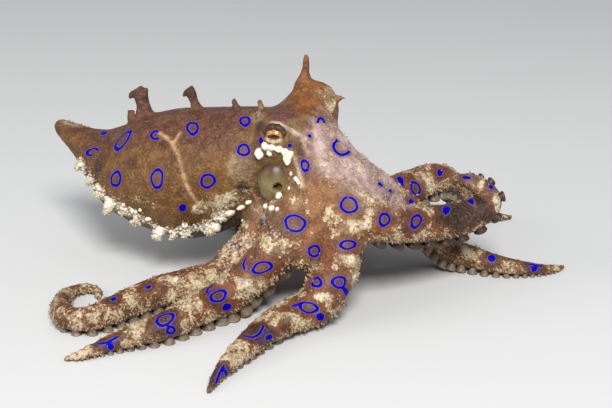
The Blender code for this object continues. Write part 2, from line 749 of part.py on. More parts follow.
def eyeball(plan, collection, extra=0.0, material=None):
    reach = EYE_RADIUS + extra
    ball = ellipsoid(plan.name, plan.place, (reach, reach, reach), collection, EYE_SIDES)
    if material:
        ball.data.materials.append(material)
    return ball


def funnel_form(name, collection, extra=0.0, material=None):
    """The funnel's stout cone, wider by the extra all round."""
    root, end = np.array(FUNNEL_ROOT), np.array(FUNNEL_END)
    axis = unit(end - root)
    up = unit(np.array([0.0, 0.0, 1.0]) - axis * axis[2])
    side = np.cross(axis, up)
    rings = []
    for share, wide, high in FUNNEL_SECTIONS:
        centre = root + (end - root) * share + axis * extra * (2 * share - 1)
        rings.append([centre + (wide + extra) * math.cos(angle) * side
                      + (high + extra) * math.sin(angle) * up
                      for angle in np.linspace(0, 2 * math.pi, FUNNEL_SIDES, endpoint=False)])
    return loft(name, rings, collection, material)


def make_funnel(collection, material):
    """The funnel, with the blind start of its bore."""
    funnel = funnel_form("funnel", collection, 0.0, material)
    end = np.array(FUNNEL_END)
    axis = unit(end - np.array(FUNNEL_ROOT))
    stops = [tuple(end + axis * depth) + (FUNNEL_BORE,)
             for depth in (-FUNNEL_BORE_DEPTH, 0.0, BORE_OVERSHOOT)]
    bore = tapered_tube("bore", stops, collection, BORE_SIDES)
    combine(funnel, [bore], "DIFFERENCE")


def part_trunk(trunk, lines, collection, skin):
    """Part the whole skin into mantle, head and crown, with room for what they hold."""
    mantle = copy_of(trunk, "mantle", collection, skin)
    neck_side = half_space(offset(NECK_CUT, -GAP / 2), NECK_CUT[1], collection)
    combine(mantle, [neck_side], "DIFFERENCE")
    horns = [papilla(plan, collection) for plan in MANTLE_HORNS]
    combine(mantle, horns + ridge_papillae(collection), "UNION")
    combine(mantle, [funnel_form("room", collection, GAP),
                     half_space(offset(NECK_CUT, -GAP / 2), NECK_CUT[1], collection)],
            "DIFFERENCE")

    head = copy_of(trunk, "head", collection, skin)
    back = (-np.array(NECK_CUT[1])).tolist()
    combine(head, [half_space(offset(NECK_CUT, GAP / 2), back, collection),
                   half_space(offset(CROWN_CUT, -GAP / 2), CROWN_CUT[1], collection)],
            "DIFFERENCE")
    extras = [papilla(plan, collection) for plan in HEAD_HORNS]
    combine(head, extras + [lid(plan, collection) for plan in EYES], "UNION")
    combine(head, [eyeball(plan, collection, GAP) for plan in EYES]
            + [funnel_form("room", collection, GAP)], "DIFFERENCE")

    crown = copy_of(trunk, "crown", collection, skin)
    up = (-np.array(CROWN_CUT[1])).tolist()
    cutters = [half_space(offset(CROWN_CUT, GAP / 2), up, collection),
               behind_neck(collection), funnel_form("room", collection, GAP)]
    combine(crown, cutters, "DIFFERENCE")
    combine(crown, [root_cutter(line, collection) for line in lines.values()], "DIFFERENCE")
    bpy.data.objects.remove(trunk)


def main():
    clear_scene()
    animal = new_collection("blue_ringed_octopus")
    skin = new_material("skin", SKIN, 0.5)
    olive = new_material("olive_skin", OLIVE_SKIN, 0.45)
    eye = new_material("eye", EYE_COLOUR, 0.15)
    lines = {name: ArmLine(plan) for name, plan in ARMS.items()}
    part_trunk(make_trunk(lines, animal), lines, animal, skin)
    for plan in EYES:
        eyeball(plan, animal, 0.0, eye)
    make_funnel(animal, olive)
    for name, plan in ARMS.items():
        make_arm(name, plan, lines[name], animal, skin)
    for item in animal.objects:
        item.location = Vector(FRAME_SHIFT) * MM


main()
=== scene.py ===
"""The looks of a life-size blue-ringed octopus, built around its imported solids.

All sizes below are in millimetres. +X points ahead of the animal, +Y to its left and +Z up.
The flesh is one skin: the same forms as the solids, made finer, with granules and papillae
raised from it. Its colours and its rings are stored on its points, and the skin's material
reads them. Marks that the photograph shows are placed from where it shows them.
"""

import math
from collections import namedtuple

import bmesh
import bpy
import numpy as np
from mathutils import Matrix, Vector, noise
from mathutils.bvhtree import BVHTree
from mathutils.kdtree import KDTree


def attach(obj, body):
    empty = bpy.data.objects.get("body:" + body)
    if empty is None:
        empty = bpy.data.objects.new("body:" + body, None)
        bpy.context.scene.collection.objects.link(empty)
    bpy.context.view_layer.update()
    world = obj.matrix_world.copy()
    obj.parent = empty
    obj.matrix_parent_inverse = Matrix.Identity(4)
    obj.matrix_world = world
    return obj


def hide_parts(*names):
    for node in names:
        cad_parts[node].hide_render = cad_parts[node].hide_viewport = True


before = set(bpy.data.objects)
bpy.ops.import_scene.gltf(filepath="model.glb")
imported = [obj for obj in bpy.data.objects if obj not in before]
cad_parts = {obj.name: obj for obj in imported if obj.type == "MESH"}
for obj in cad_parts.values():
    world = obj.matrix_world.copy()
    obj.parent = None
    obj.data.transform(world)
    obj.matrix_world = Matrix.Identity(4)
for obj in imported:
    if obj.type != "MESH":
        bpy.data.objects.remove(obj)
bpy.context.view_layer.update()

MM = 0.001
SEED = 20

# The routes below are measured from the floor under the head; this shift takes them to the
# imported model's place
FRAME_SHIFT = np.array((5.3, -1.6, 0.0))

# The camera that the photograph was taken with, and its picture in pixels
EYE_POINT = np.array((106.4, -196.1, 100.5))
AZIMUTH = 28.0
ELEVATION = 21.0
PICTURE = (612, 408)
FOCAL_PIXELS = 1380.0
SENSOR_WIDTH = 36.0

# The eyes, with the middle of each ball and the way that it looks
EYE_RADIUS = 1.9
EyePlan = namedtuple("EyePlan", "name place look")
EYES = (
    EyePlan("eye_right", (0.1, -6.65, 29.3), (0.2, -0.9, 0.4)),
    EyePlan("eye_left", (0.9, 8.9, 30.7), (0.2, 0.9, 0.3)),
)

# How far above a ball's middle the skin may stand beside it, and how far out it is held down,
# in full and at all
SOCKET_HEIGHT = 1.1
SOCKET_FLOOR = 1.2
SOCKET_REACH = 3.4

# The funnel, from its root inside the head to its open end
FUNNEL_ROOT = (-1.6, -4.4, 21.6)
FUNNEL_END = (1.5, -8.8, 21.0)

# The arms' sizes
ARM_ROOT_RADIUS = 3.5
ARM_TIP_RADIUS = 0.45
ARM_UNDERSIDE = 0.8
SUCKER_SHARE = 0.43
SUCKER_HEIGHT = 0.28
SUCKER_SINK = 0.12
SUCKER_SPREAD = 36.0

# How fine the surfaces are
PATH_STEP = 0.52
SECTION_STEP = 0.6
ROUND_SIDES = 20
MANTLE_SIDES = 48
SLIM_SIDES = 14
FUNNEL_SIDES = 40
COARSE_VOXEL = 0.6
FINE_VOXEL = 0.385
LOBE_VOXEL = 0.2
LOBE_SIDES = (12, 8)
EYE_SIDES = (48, 32)
TRUNK_SMOOTHING = 14
SKIN_SMOOTHING = 5

# How the arms leave the crown: how far inside it the free arms start, how far out their roots
# in it reach, and how wide those are beside the arms
ARM_START = -2.4
ROOT_OVERSHOOT = 1.2
CROWN_ROOT_WIDTH = 1.05
CROWN_ROOT_FLARE = 0.28
CROWN_ROOT_RINGS = 12

# The web: how far it fills the hollows between the arms, and how far back
WEB_ROUNDS = 70
REAR_OF_WEB = -3.0
WEB_FADE = 4.0

# The lowest that the skin and its papillae come over the floor
FLOOR_GAP = 0.05

# The rounded forms of the head and the crown, with their middles and half sizes
HEAD_FORMS = (
    ((-0.2, 0.2, 25.4), (8.2, 8.4, 7.4)),
    ((-0.3, -4.9, 28.3), (4.2, 3.9, 3.9)),
    ((-0.1, 6.7, 30.3), (4.7, 4.4, 5.1)),
    ((-0.6, 4.0, 28.6), (5.2, 4.6, 5.0)),
    ((4.2, 0.0, 17.4), (8.2, 9.0, 7.8)),
)

# The ridges of web between the arms, as places with a radius each
FRONT_WEB = ((3.0, 0.5, 25.6, 5.6), (8.6, 0.3, 21.6, 4.6), (14.4, 0.8, 17.6, 4.0),
             (16.4, 1.0, 17.0, 3.2))
LEFT_WEB = ((4.0, 3.0, 22.0, 5.0), (8.0, 6.0, 17.4, 4.2), (9.6, 8.4, 15.4, 3.4))
NEAR_WEB = ((5.5, -5.0, 16.0, 4.5), (7.4, -9.4, 11.6, 3.0), (7.4, -11.8, 8.8, 2.0))
WEB_STEP = 1.0

# A station of the mantle: place along the body, height of its middle, half width and half height
Station = namedtuple("Station", "x z half_width half_height")
MANTLE = (
    Station(-51.2, 21.6, 0.9, 0.9),
    Station(-50.0, 21.3, 1.7, 1.8),
    Station(-46.7, 19.8, 2.6, 2.7),
    Station(-43.6, 18.2, 3.9, 3.7),
    Station(-40.0, 16.6, 6.2, 5.4),
    Station(-35.7, 15.6, 9.0, 8.1),
    Station(-30.1, 16.4, 11.2, 10.2),
    Station(-24.5, 16.9, 12.3, 11.4),
    Station(-19.1, 17.3, 12.4, 11.9),
    Station(-14.4, 18.6, 11.6, 11.4),
    Station(-8.7, 20.8, 9.6, 10.2),
    Station(-4.0, 22.6, 8.2, 8.8),
    Station(0.0, 23.6, 7.0, 7.4),
)

# The white papillae along the lower edge of the mantle, from the tail to the head:
# place along the body, degrees below the middle, length and radius
RIDGE_PAPILLAE = (
    (-42.0, 6.0, 1.7, 0.6), (-38.2, 8.0, 1.2, 0.5), (-34.6, 10.0, 1.4, 0.55),
    (-31.6, 20.0, 2.5, 0.85), (-28.6, 24.0, 1.2, 0.5), (-25.6, 28.0, 1.7, 0.6),
    (-21.9, 40.0, 2.3, 0.85), (-18.9, 43.0, 1.1, 0.45), (-16.4, 42.0, 1.7, 0.6),
    (-12.0, 46.0, 2.2, 0.85), (-9.6, 38.0, 1.3, 0.5),
)
RIDGE_LEAN = (-0.15, 0.0, -0.45)
RIDGE_ROOT_DEPTH = 1.1
RIDGE_WAIST = 0.8

# Free papillae: base, tip, and the radius at the base, the waist and the head
Papilla = namedtuple("Papilla", "base tip radii")
HORNS = (
    Papilla((-30.5, 0.0, 25.6), (-31.5, 0.0, 31.0), (1.9, 1.2, 1.3)),
    Papilla((-19.3, 0.0, 28.4), (-20.9, 0.0, 32.6), (1.4, 0.75, 0.95)),
    Papilla((-12.0, 0.6, 29.8), (-12.3, 0.6, 32.1), (0.9, 0.5, 0.45)),
    Papilla((-1.8, 6.7, 34.0), (-1.5, 7.0, 39.7), (1.9, 0.65, 0.6)),
    Papilla((3.4, 7.2, 32.5), (6.4, 7.6, 32.9), (0.6, 0.45, 0.25)),
    Papilla((-4.4, -3.3, 30.8), (-4.6, -3.8, 34.2), (1.2, 0.65, 0.4)),
)

# The lobes that make the horns' tops and feet ragged: the middle and the half sizes
HORN_LOBES = (
    ((-30.6, -0.3, 30.4), (0.9, 0.8, 0.75)), ((-32.9, 0.1, 30.3), (0.9, 0.8, 0.55)),
    ((-33.5, -0.2, 29.7), (0.5, 0.5, 0.6)), ((-31.7, 0.6, 31.2), (0.8, 0.6, 0.45)),
    ((-31.9, -0.6, 30.9), (0.7, 0.5, 0.6)), ((-30.4, 0.5, 31.1), (0.45, 0.5, 0.5)),
    ((-29.9, -0.3, 27.6), (0.7, 0.9, 1.5)), ((-30.9, -0.9, 28.6), (0.5, 0.45, 1.0)),
    ((-33.4, -0.4, 25.6), (0.9, 0.8, 0.9)), ((-33.8, -0.3, 26.6), (0.55, 0.5, 0.6)),
    ((-33.1, -0.1, 26.9), (0.4, 0.4, 0.5)),
    ((-20.2, -0.2, 32.2), (0.7, 0.6, 0.6)), ((-21.8, 0.2, 32.0), (0.6, 0.6, 0.45)),
    ((-20.9, 0.5, 32.9), (0.6, 0.5, 0.35)), ((-22.1, -0.2, 31.4), (0.35, 0.35, 0.5)),
    ((-21.1, -0.5, 32.3), (0.6, 0.45, 0.5)), ((-19.6, -0.5, 29.6), (0.5, 0.5, 0.8)),
    ((-12.5, 0.4, 31.6), (0.4, 0.4, 0.35)), ((-11.8, 0.7, 30.9), (0.4, 0.4, 0.5)),
    ((-4.9, -3.5, 33.4), (0.5, 0.45, 0.5)), ((-4.1, -3.9, 32.6), (0.5, 0.45, 0.7)),
    ((-4.8, -2.9, 31.8), (0.6, 0.6, 0.6)), ((-1.9, 6.6, 36.4), (0.5, 0.5, 0.7)),
    ((-1.1, 6.9, 37.6), (0.4, 0.4, 0.6)), ((-2.4, 6.4, 35.0), (0.6, 0.6, 0.8)),
    ((4.4, 6.9, 32.1), (0.5, 0.5, 0.4)), ((3.6, 6.6, 33.2), (0.6, 0.6, 0.5)),
)

# An arm's route: the points inside the crown, then the free ones from the root plane to the
# tip. A free point at floor height is lifted until the arm lies on its suckers. Fullness
# says how far out the arm stays thick.
ArmPlan = namedtuple("ArmPlan", "inner free fullness")
FLOOR = -3.0
ARMS = {
    "arm_r1": ArmPlan(
        ((4.0, -3.0, 22.5), (11.0, -4.2, 18.8)),
        ((16.8, -2.9, 15.6), (20.6, 4.2, 13.2), (24.0, 10.0, 12.1), (27.2, 13.8, 12.2),
         (29.6, 15.6, 14.2), (29.6, 15.8, 17.0), (27.2, 16.4, 18.4), (24.4, 17.4, 18.2),
         (22.0, 18.8, 17.4)),
        3.0),
    "arm_r2": ArmPlan(
        ((5.0, -4.5, 19.5), (10.0, -5.9, 16.0)),
        ((12.7, -7.6, 12.3), (12.9, -10.2, 8.2), (12.0, -13.1, 4.6), (9.6, -16.4, FLOOR),
         (8.0, -20.8, FLOOR), (7.1, -26.3, FLOOR), (6.9, -32.4, FLOOR), (7.0, -37.6, FLOOR),
         (7.8, -41.6, FLOOR)),
        2.0),
    "arm_r3": ArmPlan(
        ((2.5, -3.5, 19.0), (3.4, -7.5, 15.3)),
        ((3.0, -11.0, 12.0), (1.0, -13.5, 8.2), (-2.0, -16.0, 5.0), (-4.2, -19.6, FLOOR),
         (-6.0, -24.9, FLOOR), (-7.7, -30.2, FLOOR), (-10.7, -34.0, FLOOR),
         (-13.3, -37.8, FLOOR), (-15.2, -41.0, FLOOR), (-17.3, -43.4, FLOOR)),
        2.3),
    "arm_r4": ArmPlan(
        ((-0.5, -2.5, 15.5), (-2.8, -4.8, 12.4)),
        ((-4.2, -6.6, 8.9), (-6.8, -9.6, 5.4), (-9.6, -13.2, FLOOR), (-12.4, -17.2, FLOOR),
         (-15.2, -20.9, FLOOR), (-17.0, -24.9, FLOOR), (-18.4, -29.4, FLOOR),
         (-20.4, -33.2, FLOOR), (-23.9, -34.0, FLOOR), (-28.0, -30.6, FLOOR),
         (-30.9, -25.4, FLOOR), (-30.4, -21.2, FLOOR), (-27.8, -20.6, FLOOR),
         (-26.2, -22.6, FLOOR)),
        1.7),
    "arm_l1": ArmPlan(
        ((4.0, 3.5, 22.5), (9.0, 5.5, 19.0)),
        ((13.0, 9.0, 14.8), (15.8, 13.6, 10.4), (18.6, 17.6, 6.2), (23.3, 19.4, FLOOR),
         (29.0, 19.8, FLOOR), (34.1, 21.4, FLOOR), (38.0, 24.3, FLOOR), (40.0, 27.8, FLOOR)),
        1.7),
    "arm_l2": ArmPlan(
        ((3.0, 5.0, 19.0), (5.4, 9.5, 15.6)),
        ((7.8, 14.0, 12.6), (11.2, 20.6, 12.2), (14.3, 28.0, 13.2), (15.8, 34.0, 9.6),
         (17.2, 39.0, 3.6), (19.6, 43.4, FLOOR), (23.2, 46.6, FLOOR)),
        1.7),
    "arm_l3": ArmPlan(
        ((1.5, 4.5, 18.0), (2.0, 9.0, 14.0)),
        ((1.4, 13.2, 10.0), (-0.4, 18.0, 6.0), (-4.0, 23.4, 3.0), (-9.0, 28.4, FLOOR),
         (-15.0, 32.4, FLOOR), (-22.0, 35.4, FLOOR), (-29.0, 36.8, FLOOR),
         (-35.0, 36.4, FLOOR)),
        1.7),
    "arm_l4": ArmPlan(
        ((-0.5, 2.5, 15.5), (-2.8, 5.0, 12.4)),
        ((-4.2, 6.6, 8.9), (-6.9, 9.8, 5.4), (-11.6, 13.6, FLOOR), (-18.4, 16.8, FLOOR),
         (-26.0, 19.0, FLOOR), (-33.0, 19.4, FLOOR), (-39.5, 18.2, FLOOR),
         (-45.0, 15.6, FLOOR)),
        1.7),
}

# The rings and dots that the photograph shows: where each is and how wide and high it is,
# in the photograph's pixels, the turn of its longer axis in degrees, the share of its line
# that is whole, and the way that the whole share faces, in degrees from the right.
Mark = namedtuple("Mark", "x y width height turn whole toward", defaults=(0, 1.0, 0))
RINGS = tuple(Mark(*row) for row in (
    # on the mantle
    (122.5, 140.2, 24, 9.5, 50), (155.7, 135, 11, 10.5, 0, 0.72, 180),
    (192.5, 128, 13, 14, -20), (245, 121, 11.5, 11, 30),
    (243.7, 150, 14, 12.5), (157, 178.6, 14, 20, 0, 0.97, 180),
    (207.8, 181, 15.7, 15.3), (115.6, 179, 11, 17, -10),
    (92.8, 152, 13, 9, 20, 0.7, 140),
    # on the head and the web
    (305, 165.7, 9.5, 13, 5), (321, 121.5, 9, 9, 0, 0.6, 90),
    (341, 148, 20, 13, -42, 0.7, 225),
    # on the raised arms to the right
    (384.6, 219.5, 12.4, 14.3), (416.3, 221.2, 15, 11.5, 60),
    (415.6, 188.3, 14.5, 11, -65),
    # on the near arms
    (295, 223.3, 21.7, 18.5), (349, 205, 19, 17), (314.3, 251, 13.4, 12.8),
    (348.2, 244.7, 17.5, 10.5), (316.5, 282.2, 11, 11.5), (339.3, 282.3, 15, 14),
    (308.2, 307.5, 19.5, 12.6, -8), (262.2, 267.6, 22, 12.5, 20),
    (218.3, 296, 19, 12, 25), (165, 319, 20.5, 12.5, 22), (171, 330.3, 10, 9.5),
))
DOTS = tuple(Mark(*row) for row in (
    (182.6, 207.8, 7.5, 7.5), (104, 133, 7, 4, 10), (289.7, 145.7, 4.5, 4.5),
    (309.8, 136, 4, 4), (261, 140.5, 4.5, 7), (266, 129.5, 3.5, 4),
    (446.3, 209.7, 8, 9), (469.9, 199.9, 5.5, 6), (466.4, 177.5, 9, 3.5, -5),
    (491, 186.7, 4.5, 5), (400.4, 179.8, 10, 5.5, -60), (436.6, 163.2, 7, 6),
    (440, 172.4, 6, 7), (380.5, 184.5, 6, 3.5, -45), (388.2, 190.8, 6, 3.5, -20),
    (411.3, 201.7, 5, 6), (346.3, 292, 5, 9, 20), (320.5, 317, 8.5, 7.5),
    (296.5, 304.8, 12, 2.6, 18), (226.7, 307, 10, 7, 20),
    (269, 337.4, 7.5, 5.5, 25), (110.8, 346.8, 6.5, 7, -20), (226, 373, 3.5, 7, 10),
    (491.7, 258, 8, 7), (534.2, 269, 6.5, 5.5), (113.4, 299, 6, 4, 10),
    (148.4, 287, 6, 4, 20),
))

# The open blue lines that the photograph shows, as pixels along each
STROKES = (
    ((243.5, 336), (252, 337.3), (259.5, 333.5), (263.5, 326)),
    ((98.5, 344), (107.5, 342.3), (117.5, 336.8)),
    ((244.5, 269), (243.5, 263.5), (246, 258)),
    ((206.8, 292.5), (208.3, 288.5), (212.3, 285.8)),
    ((216, 383), (219.2, 374.5), (223.6, 366)),
    ((490, 250), (497, 252), (505, 253.6)),
    ((528.5, 264.3), (534.5, 264.8), (541, 266.6)),
)

# Half the width of a blue line, how far its patch reaches past it, and the least half size of
# a ring
RING_LINE = 0.21
RING_MARGIN = 1.7
LEAST_RING = 0.5

# How far from any line a point counts as before the marks are written, how far round from the
# camera's side a mark's patch goes, and the gap that a mark on a hidden side keeps to the others
FAR_FROM_LINES = 9.0
MARK_FACING = -0.1
HIDDEN_MARK_GAP = 1.2

# The number that the uneven outlines of the hidden sides' marks start from
HIDDEN_MARK_KEY = 100.0

# How close together the places along a blue line and along a fold are taken
STROKE_STEP = 0.1
LINE_STEP = 0.3

# The rings that the photograph doesn't show. On both sides of the mantle: place along it,
# degrees below its middle and half width
MANTLE_MARKS = (
    (-43, -20, 1.0), (-38, -48, 1.3), (-36, -10, 1.2), (-29, -28, 1.5), (-28, 0, 1.3),
    (-20, -52, 1.2), (-21, -8, 1.5), (-13, -30, 1.4), (-12, 6, 1.2), (-30, -75, 1.0),
    (-16, -80, 1.1),
)
# On the head: place and half width
HEAD_MARKS = (
    ((3.0, 8.5, 26.0), 1.1), ((-3.5, 9.0, 27.5), 1.0), ((6.5, 7.0, 23.5), 1.3),
    ((0.5, 2.0, 33.5), 0.8), ((10.0, 3.5, 22.0), 1.3),
)
# Along the arms: how far the first and the last are from the ends, their two lines in degrees
# from the arm's top, the gap after each and its share of the radius, their half width as a
# share of the radius, the least one, and the half width below which a mark is a dot
ARM_MARK_ENDS = 4.0
ARM_MARK_LINES = (38.0, -62.0)
ARM_MARK_GAP = (2.4, 1.6)
ARM_MARK_SHARE = 0.42
LEAST_ARM_MARK = 0.45
LARGEST_DOT = 0.6

# How high the wrinkles of the head's slope and the arms stand
WRINKLE_LIFT = 0.16

# The skin's bumps: how many at most, how far apart and how wide, with the random part
GRANULE_COUNT = 20000
GRANULE_GAP = 0.85
GRANULE_RADIUS = (0.55, 0.3)

# The small papillae and the larger flaps: how many at most, how far apart, and their sides
KNOB_COUNT = 9500
KNOB_GAP = 0.36
FLAP_COUNT = 1300
FLAP_GAP = 0.95
KNOB_SIDES = 5

# Their shapes: how far along it each ring lies and how wide it is
KNOB_STOPS = ((-0.4, 0.85), (0.45, 0.9))
FLAP_STOPS = ((-0.35, 1.35), (0.35, 0.72))

rng = np.random.default_rng(SEED)


# Small tools

def unit(vector):
    return vector / np.linalg.norm(vector)


def unit_rows(vectors):
    return vectors / np.linalg.norm(vectors, axis=1)[:, None]


def smoothstep(low, high, value):
    share = np.clip((value - low) / (high - low), 0.0, 1.0)
    return share * share * (3 - 2 * share)


def linear(red, green, blue):
    """A colour as a screen shows it, 0 to 255, turned into light."""
    shares = np.array((red, green, blue)) / 255.0
    return np.where(shares <= 0.04045, shares / 12.92, ((shares + 0.055) / 1.055) ** 2.4)


def new_object(name, points, faces):
    """Make a mesh object from points in millimetres, with its faces pointing out."""
    mesh = bpy.data.meshes.new(name)
    moved = (np.asarray(points) + FRAME_SHIFT) * MM
    mesh.from_pydata(moved.tolist(), [], faces)
    item = bpy.data.objects.new(name, mesh)
    bpy.context.scene.collection.objects.link(item)
    return item


def points_of(item):
    """An object's points, in millimetres, as the routes are measured."""
    places = np.empty(len(item.data.vertices) * 3)
    item.data.vertices.foreach_get("co", places)
    return places.reshape(-1, 3) / MM - FRAME_SHIFT


def set_points(item, places):
    item.data.vertices.foreach_set("co", ((places + FRAME_SHIFT) * MM).ravel())
    item.data.update()


def normals_of(item):
    normals = np.empty(len(item.data.vertices) * 3)
    item.data.vertex_normals.foreach_get("vector", normals)
    return normals.reshape(-1, 3)


def apply_modifiers(item):
    depsgraph = bpy.context.evaluated_depsgraph_get()
    mesh = bpy.data.meshes.new_from_object(item.evaluated_get(depsgraph))
    item.modifiers.clear()
    item.data = mesh


def shade_smooth(item):
    item.data.polygons.foreach_set("use_smooth", [True] * len(item.data.polygons))


class Parts:
    """Points and faces of several forms, gathered into one mesh."""

    def __init__(self):
        self.points = []
        self.faces = []

    def add(self, points, faces):
        start = len(self.points)
        self.points.extend(points)
        self.faces.extend(tuple(index + start for index in face) for face in faces)

    def object(self, name):
        return new_object(name, np.array(self.points), self.faces)


def circle(centre, radius, first, second, sides):
    """Points round a centre, from the first direction towards the second."""
    return [centre + radius * (math.cos(angle) * first + math.sin(angle) * second)
            for angle in np.linspace(0, 2 * math.pi, sides, endpoint=False)]


def loft_form(rings):
    """Points and faces of a row of rings of equal count, closed at both ends."""
    sides = len(rings[0])
    points = [point for ring in rings for point in ring]
    faces = [tuple(reversed(range(sides)))]
    for row in range(len(rings) - 1):
        for side in range(sides):
            after = (side + 1) % sides
            low = row * sides
            high = low + sides
            faces.append((low + side, low + after, high + after, high + side))
    last = (len(rings) - 1) * sides
    faces.append(tuple(range(last, last + sides)))
    return points, faces


def sphere_form(centre, half, segments=32, rings=18):
    shape = bmesh.new()
    bmesh.ops.create_uvsphere(shape, u_segments=segments, v_segments=rings, radius=1.0)
    points = [np.array(vertex.co) * half + centre for vertex in shape.verts]
    faces = [[vertex.index for vertex in face.verts] for face in shape.faces]
    shape.free()
    return points, faces


def smooth_path(points, step):
    """Read a smooth curve through the points at even steps along its length."""
    points = np.array(points, dtype=float)
    padded = np.vstack([2 * points[0] - points[1], points, 2 * points[-1] - points[-2]])
    dense = []
    for index in range(1, len(padded) - 2):
        before, start, end, after = padded[index - 1:index + 3]
        for share in np.linspace(0.0, 1.0, 24, endpoint=False):
            dense.append(0.5 * (2 * start + (end - before) * share
                                + (2 * before - 5 * start + 4 * end - after) * share ** 2
                                + (3 * start - before - 3 * end + after) * share ** 3))
    dense.append(points[-1])
    dense = np.array(dense)
    travel = np.concatenate([[0.0], np.cumsum(np.linalg.norm(np.diff(dense, axis=0), axis=1))])
    count = max(2, int(round(travel[-1] / step)) + 1)
    wanted = np.linspace(0.0, travel[-1], count)
    path = np.column_stack([np.interp(wanted, travel, dense[:, axis]) for axis in range(3)])
    return path, wanted


def tube_form(stops):
    """A tube through a few places, each with its own radius."""
    places, _ = smooth_path([stop[:3] for stop in stops], WEB_STEP)
    shares = np.linspace(0.0, len(stops) - 1, len(places))
    radii = np.interp(shares, range(len(stops)), [stop[3] for stop in stops])
    tangents = np.gradient(places, axis=0)
    rings = []
    for place, tangent, radius in zip(places, tangents, radii):
        tangent = unit(tangent)
        across = unit(np.cross(tangent, (0.31, 0.94, 0.12)))
        rings.append(circle(place, radius, across, np.cross(tangent, across), ROUND_SIDES))
    return loft_form(rings)


# The arms' lines

def arm_radius(share, fullness):
    """The arm's radius, where share runs from 0 at the root plane to 1 at the tip."""
    kept = 1.0 - min(1.0, max(0.0, share)) ** fullness
    return ARM_TIP_RADIUS + (ARM_ROOT_RADIUS - ARM_TIP_RADIUS) * kept


def lifted(height, rest, blend=2.0):
    """The greater of two heights, with a soft change from one to the other."""
    nearness = max(0.0, blend - abs(height - rest))
    return max(height, rest) + nearness ** 2 / (4 * blend)


class ArmLine:
    """The middle line of one arm, with its radius and the way its suckers face."""

    def __init__(self, plan):
        self.fullness = plan.fullness
        self.path, self.travel = smooth_path(plan.inner + plan.free, PATH_STEP)
        near_root = np.linalg.norm(self.path - np.array(plan.free[0]), axis=1)
        self.root = self.travel[int(near_root.argmin())]
        self.length = self.travel[-1] - self.root
        self.lift_off_floor()
        self.tangents = unit_rows(np.gradient(self.path, axis=0))
        self.orals = self.carry_underside()

    def lift_off_floor(self, easing=60):
        """Raise the line to where the arm lies on its suckers, and ease the way down to it."""
        radii = np.array([arm_radius((along - self.root) / self.length, self.fullness)
                          for along in self.travel])
        rest = radii * (ARM_UNDERSIDE + SUCKER_HEIGHT) - SUCKER_SINK
        heights = np.array([lifted(height, low) for height, low in zip(self.path[:, 2], rest)])
        for _ in range(easing):
            heights[1:-1] = (heights[:-2] + 2 * heights[1:-1] + heights[2:]) / 4
            heights = np.maximum(heights, rest)
        self.path[:, 2] = heights

    def carry_underside(self, pull=0.06):
        """Carry the underside's direction along the arm, drawn gently towards the floor."""
        down = np.array([0.0, 0.0, -1.0])
        oral = down
        orals = []
        for tangent in self.tangents:
            oral = oral + pull * down
            oral = unit(oral - tangent * oral.dot(tangent))
            orals.append(oral)
        return np.array(orals)

    def at(self, along):
        """Place, direction, underside and radius at a length from the root plane."""
        place, tangent, oral = (
            np.array([np.interp(along + self.root, self.travel, row) for row in rows.T])
            for rows in (self.path, self.tangents, self.orals))
        tangent = unit(tangent)
        oral = unit(oral - tangent * oral.dot(tangent))
        return place, tangent, oral, arm_radius(along / self.length, self.fullness)


def arm_ring(line, along):
    """One section of an arm, round above and flatter below."""
    place, tangent, oral, radius = line.at(along)
    side = np.cross(oral, tangent)
    ring = []
    for index in range(ROUND_SIDES):
        angle = 2 * math.pi * (index + 0.5) / ROUND_SIDES
        depth = math.cos(angle) * (ARM_UNDERSIDE if math.cos(angle) > 0 else 1.0)
        ring.append(place + radius * (depth * oral + math.sin(angle) * side))
    return ring


def arm_form(line):
    """The whole free arm, from just inside the crown to a rounded tip."""
    alongs = np.arange(ARM_START, line.length, SECTION_STEP)
    rings = [arm_ring(line, along) for along in alongs]
    place, tangent, _, _ = line.at(line.length)
    end = np.array(arm_ring(line, line.length))
    rings += [end.tolist(), (place + 0.6 * (end - place) + 0.3 * tangent).tolist()]
    return loft_form([np.array(ring) for ring in rings])


def crown_root_form(line):
    """The root of one arm inside the crown, a little past the plane where the arm starts."""
    rings = []
    for along in np.linspace(-line.root, ROOT_OVERSHOOT, CROWN_ROOT_RINGS):
        place, tangent, oral, _ = line.at(along)
        flare = CROWN_ROOT_FLARE * max(0.0, -along) / line.root
        radius = ARM_ROOT_RADIUS * (CROWN_ROOT_WIDTH + flare)
        rings.append(circle(place, radius, oral, np.cross(oral, tangent), ROUND_SIDES))
    return loft_form(rings)


# The skin's form

def mantle_form():
    """The sack of the mantle, from its pointed tip to inside the head."""
    rings = []
    for station in MANTLE:
        rings.append([(station.x, station.half_width * math.cos(angle),
                       station.z + station.half_height * math.sin(angle))
                      for angle in np.linspace(0, 2 * math.pi, MANTLE_SIDES, endpoint=False)])
    return loft_form(rings)


def face_outward(item):
    shape = bmesh.new()
    shape.from_mesh(item.data)
    bmesh.ops.recalc_face_normals(shape, faces=shape.faces[:])
    shape.to_mesh(item.data)
    shape.free()


def remeshed(item, voxel):
    """Join a mesh's overlapping closed forms into one even skin."""
    face_outward(item)
    remesh = item.modifiers.new("remesh", "REMESH")
    remesh.mode = "VOXEL"
    remesh.voxel_size = voxel * MM
    apply_modifiers(item)


def smoothed(item, rounds, factor=0.5):
    smooth = item.modifiers.new("smooth", "SMOOTH")
    smooth.iterations = rounds
    smooth.factor = factor
    apply_modifiers(item)


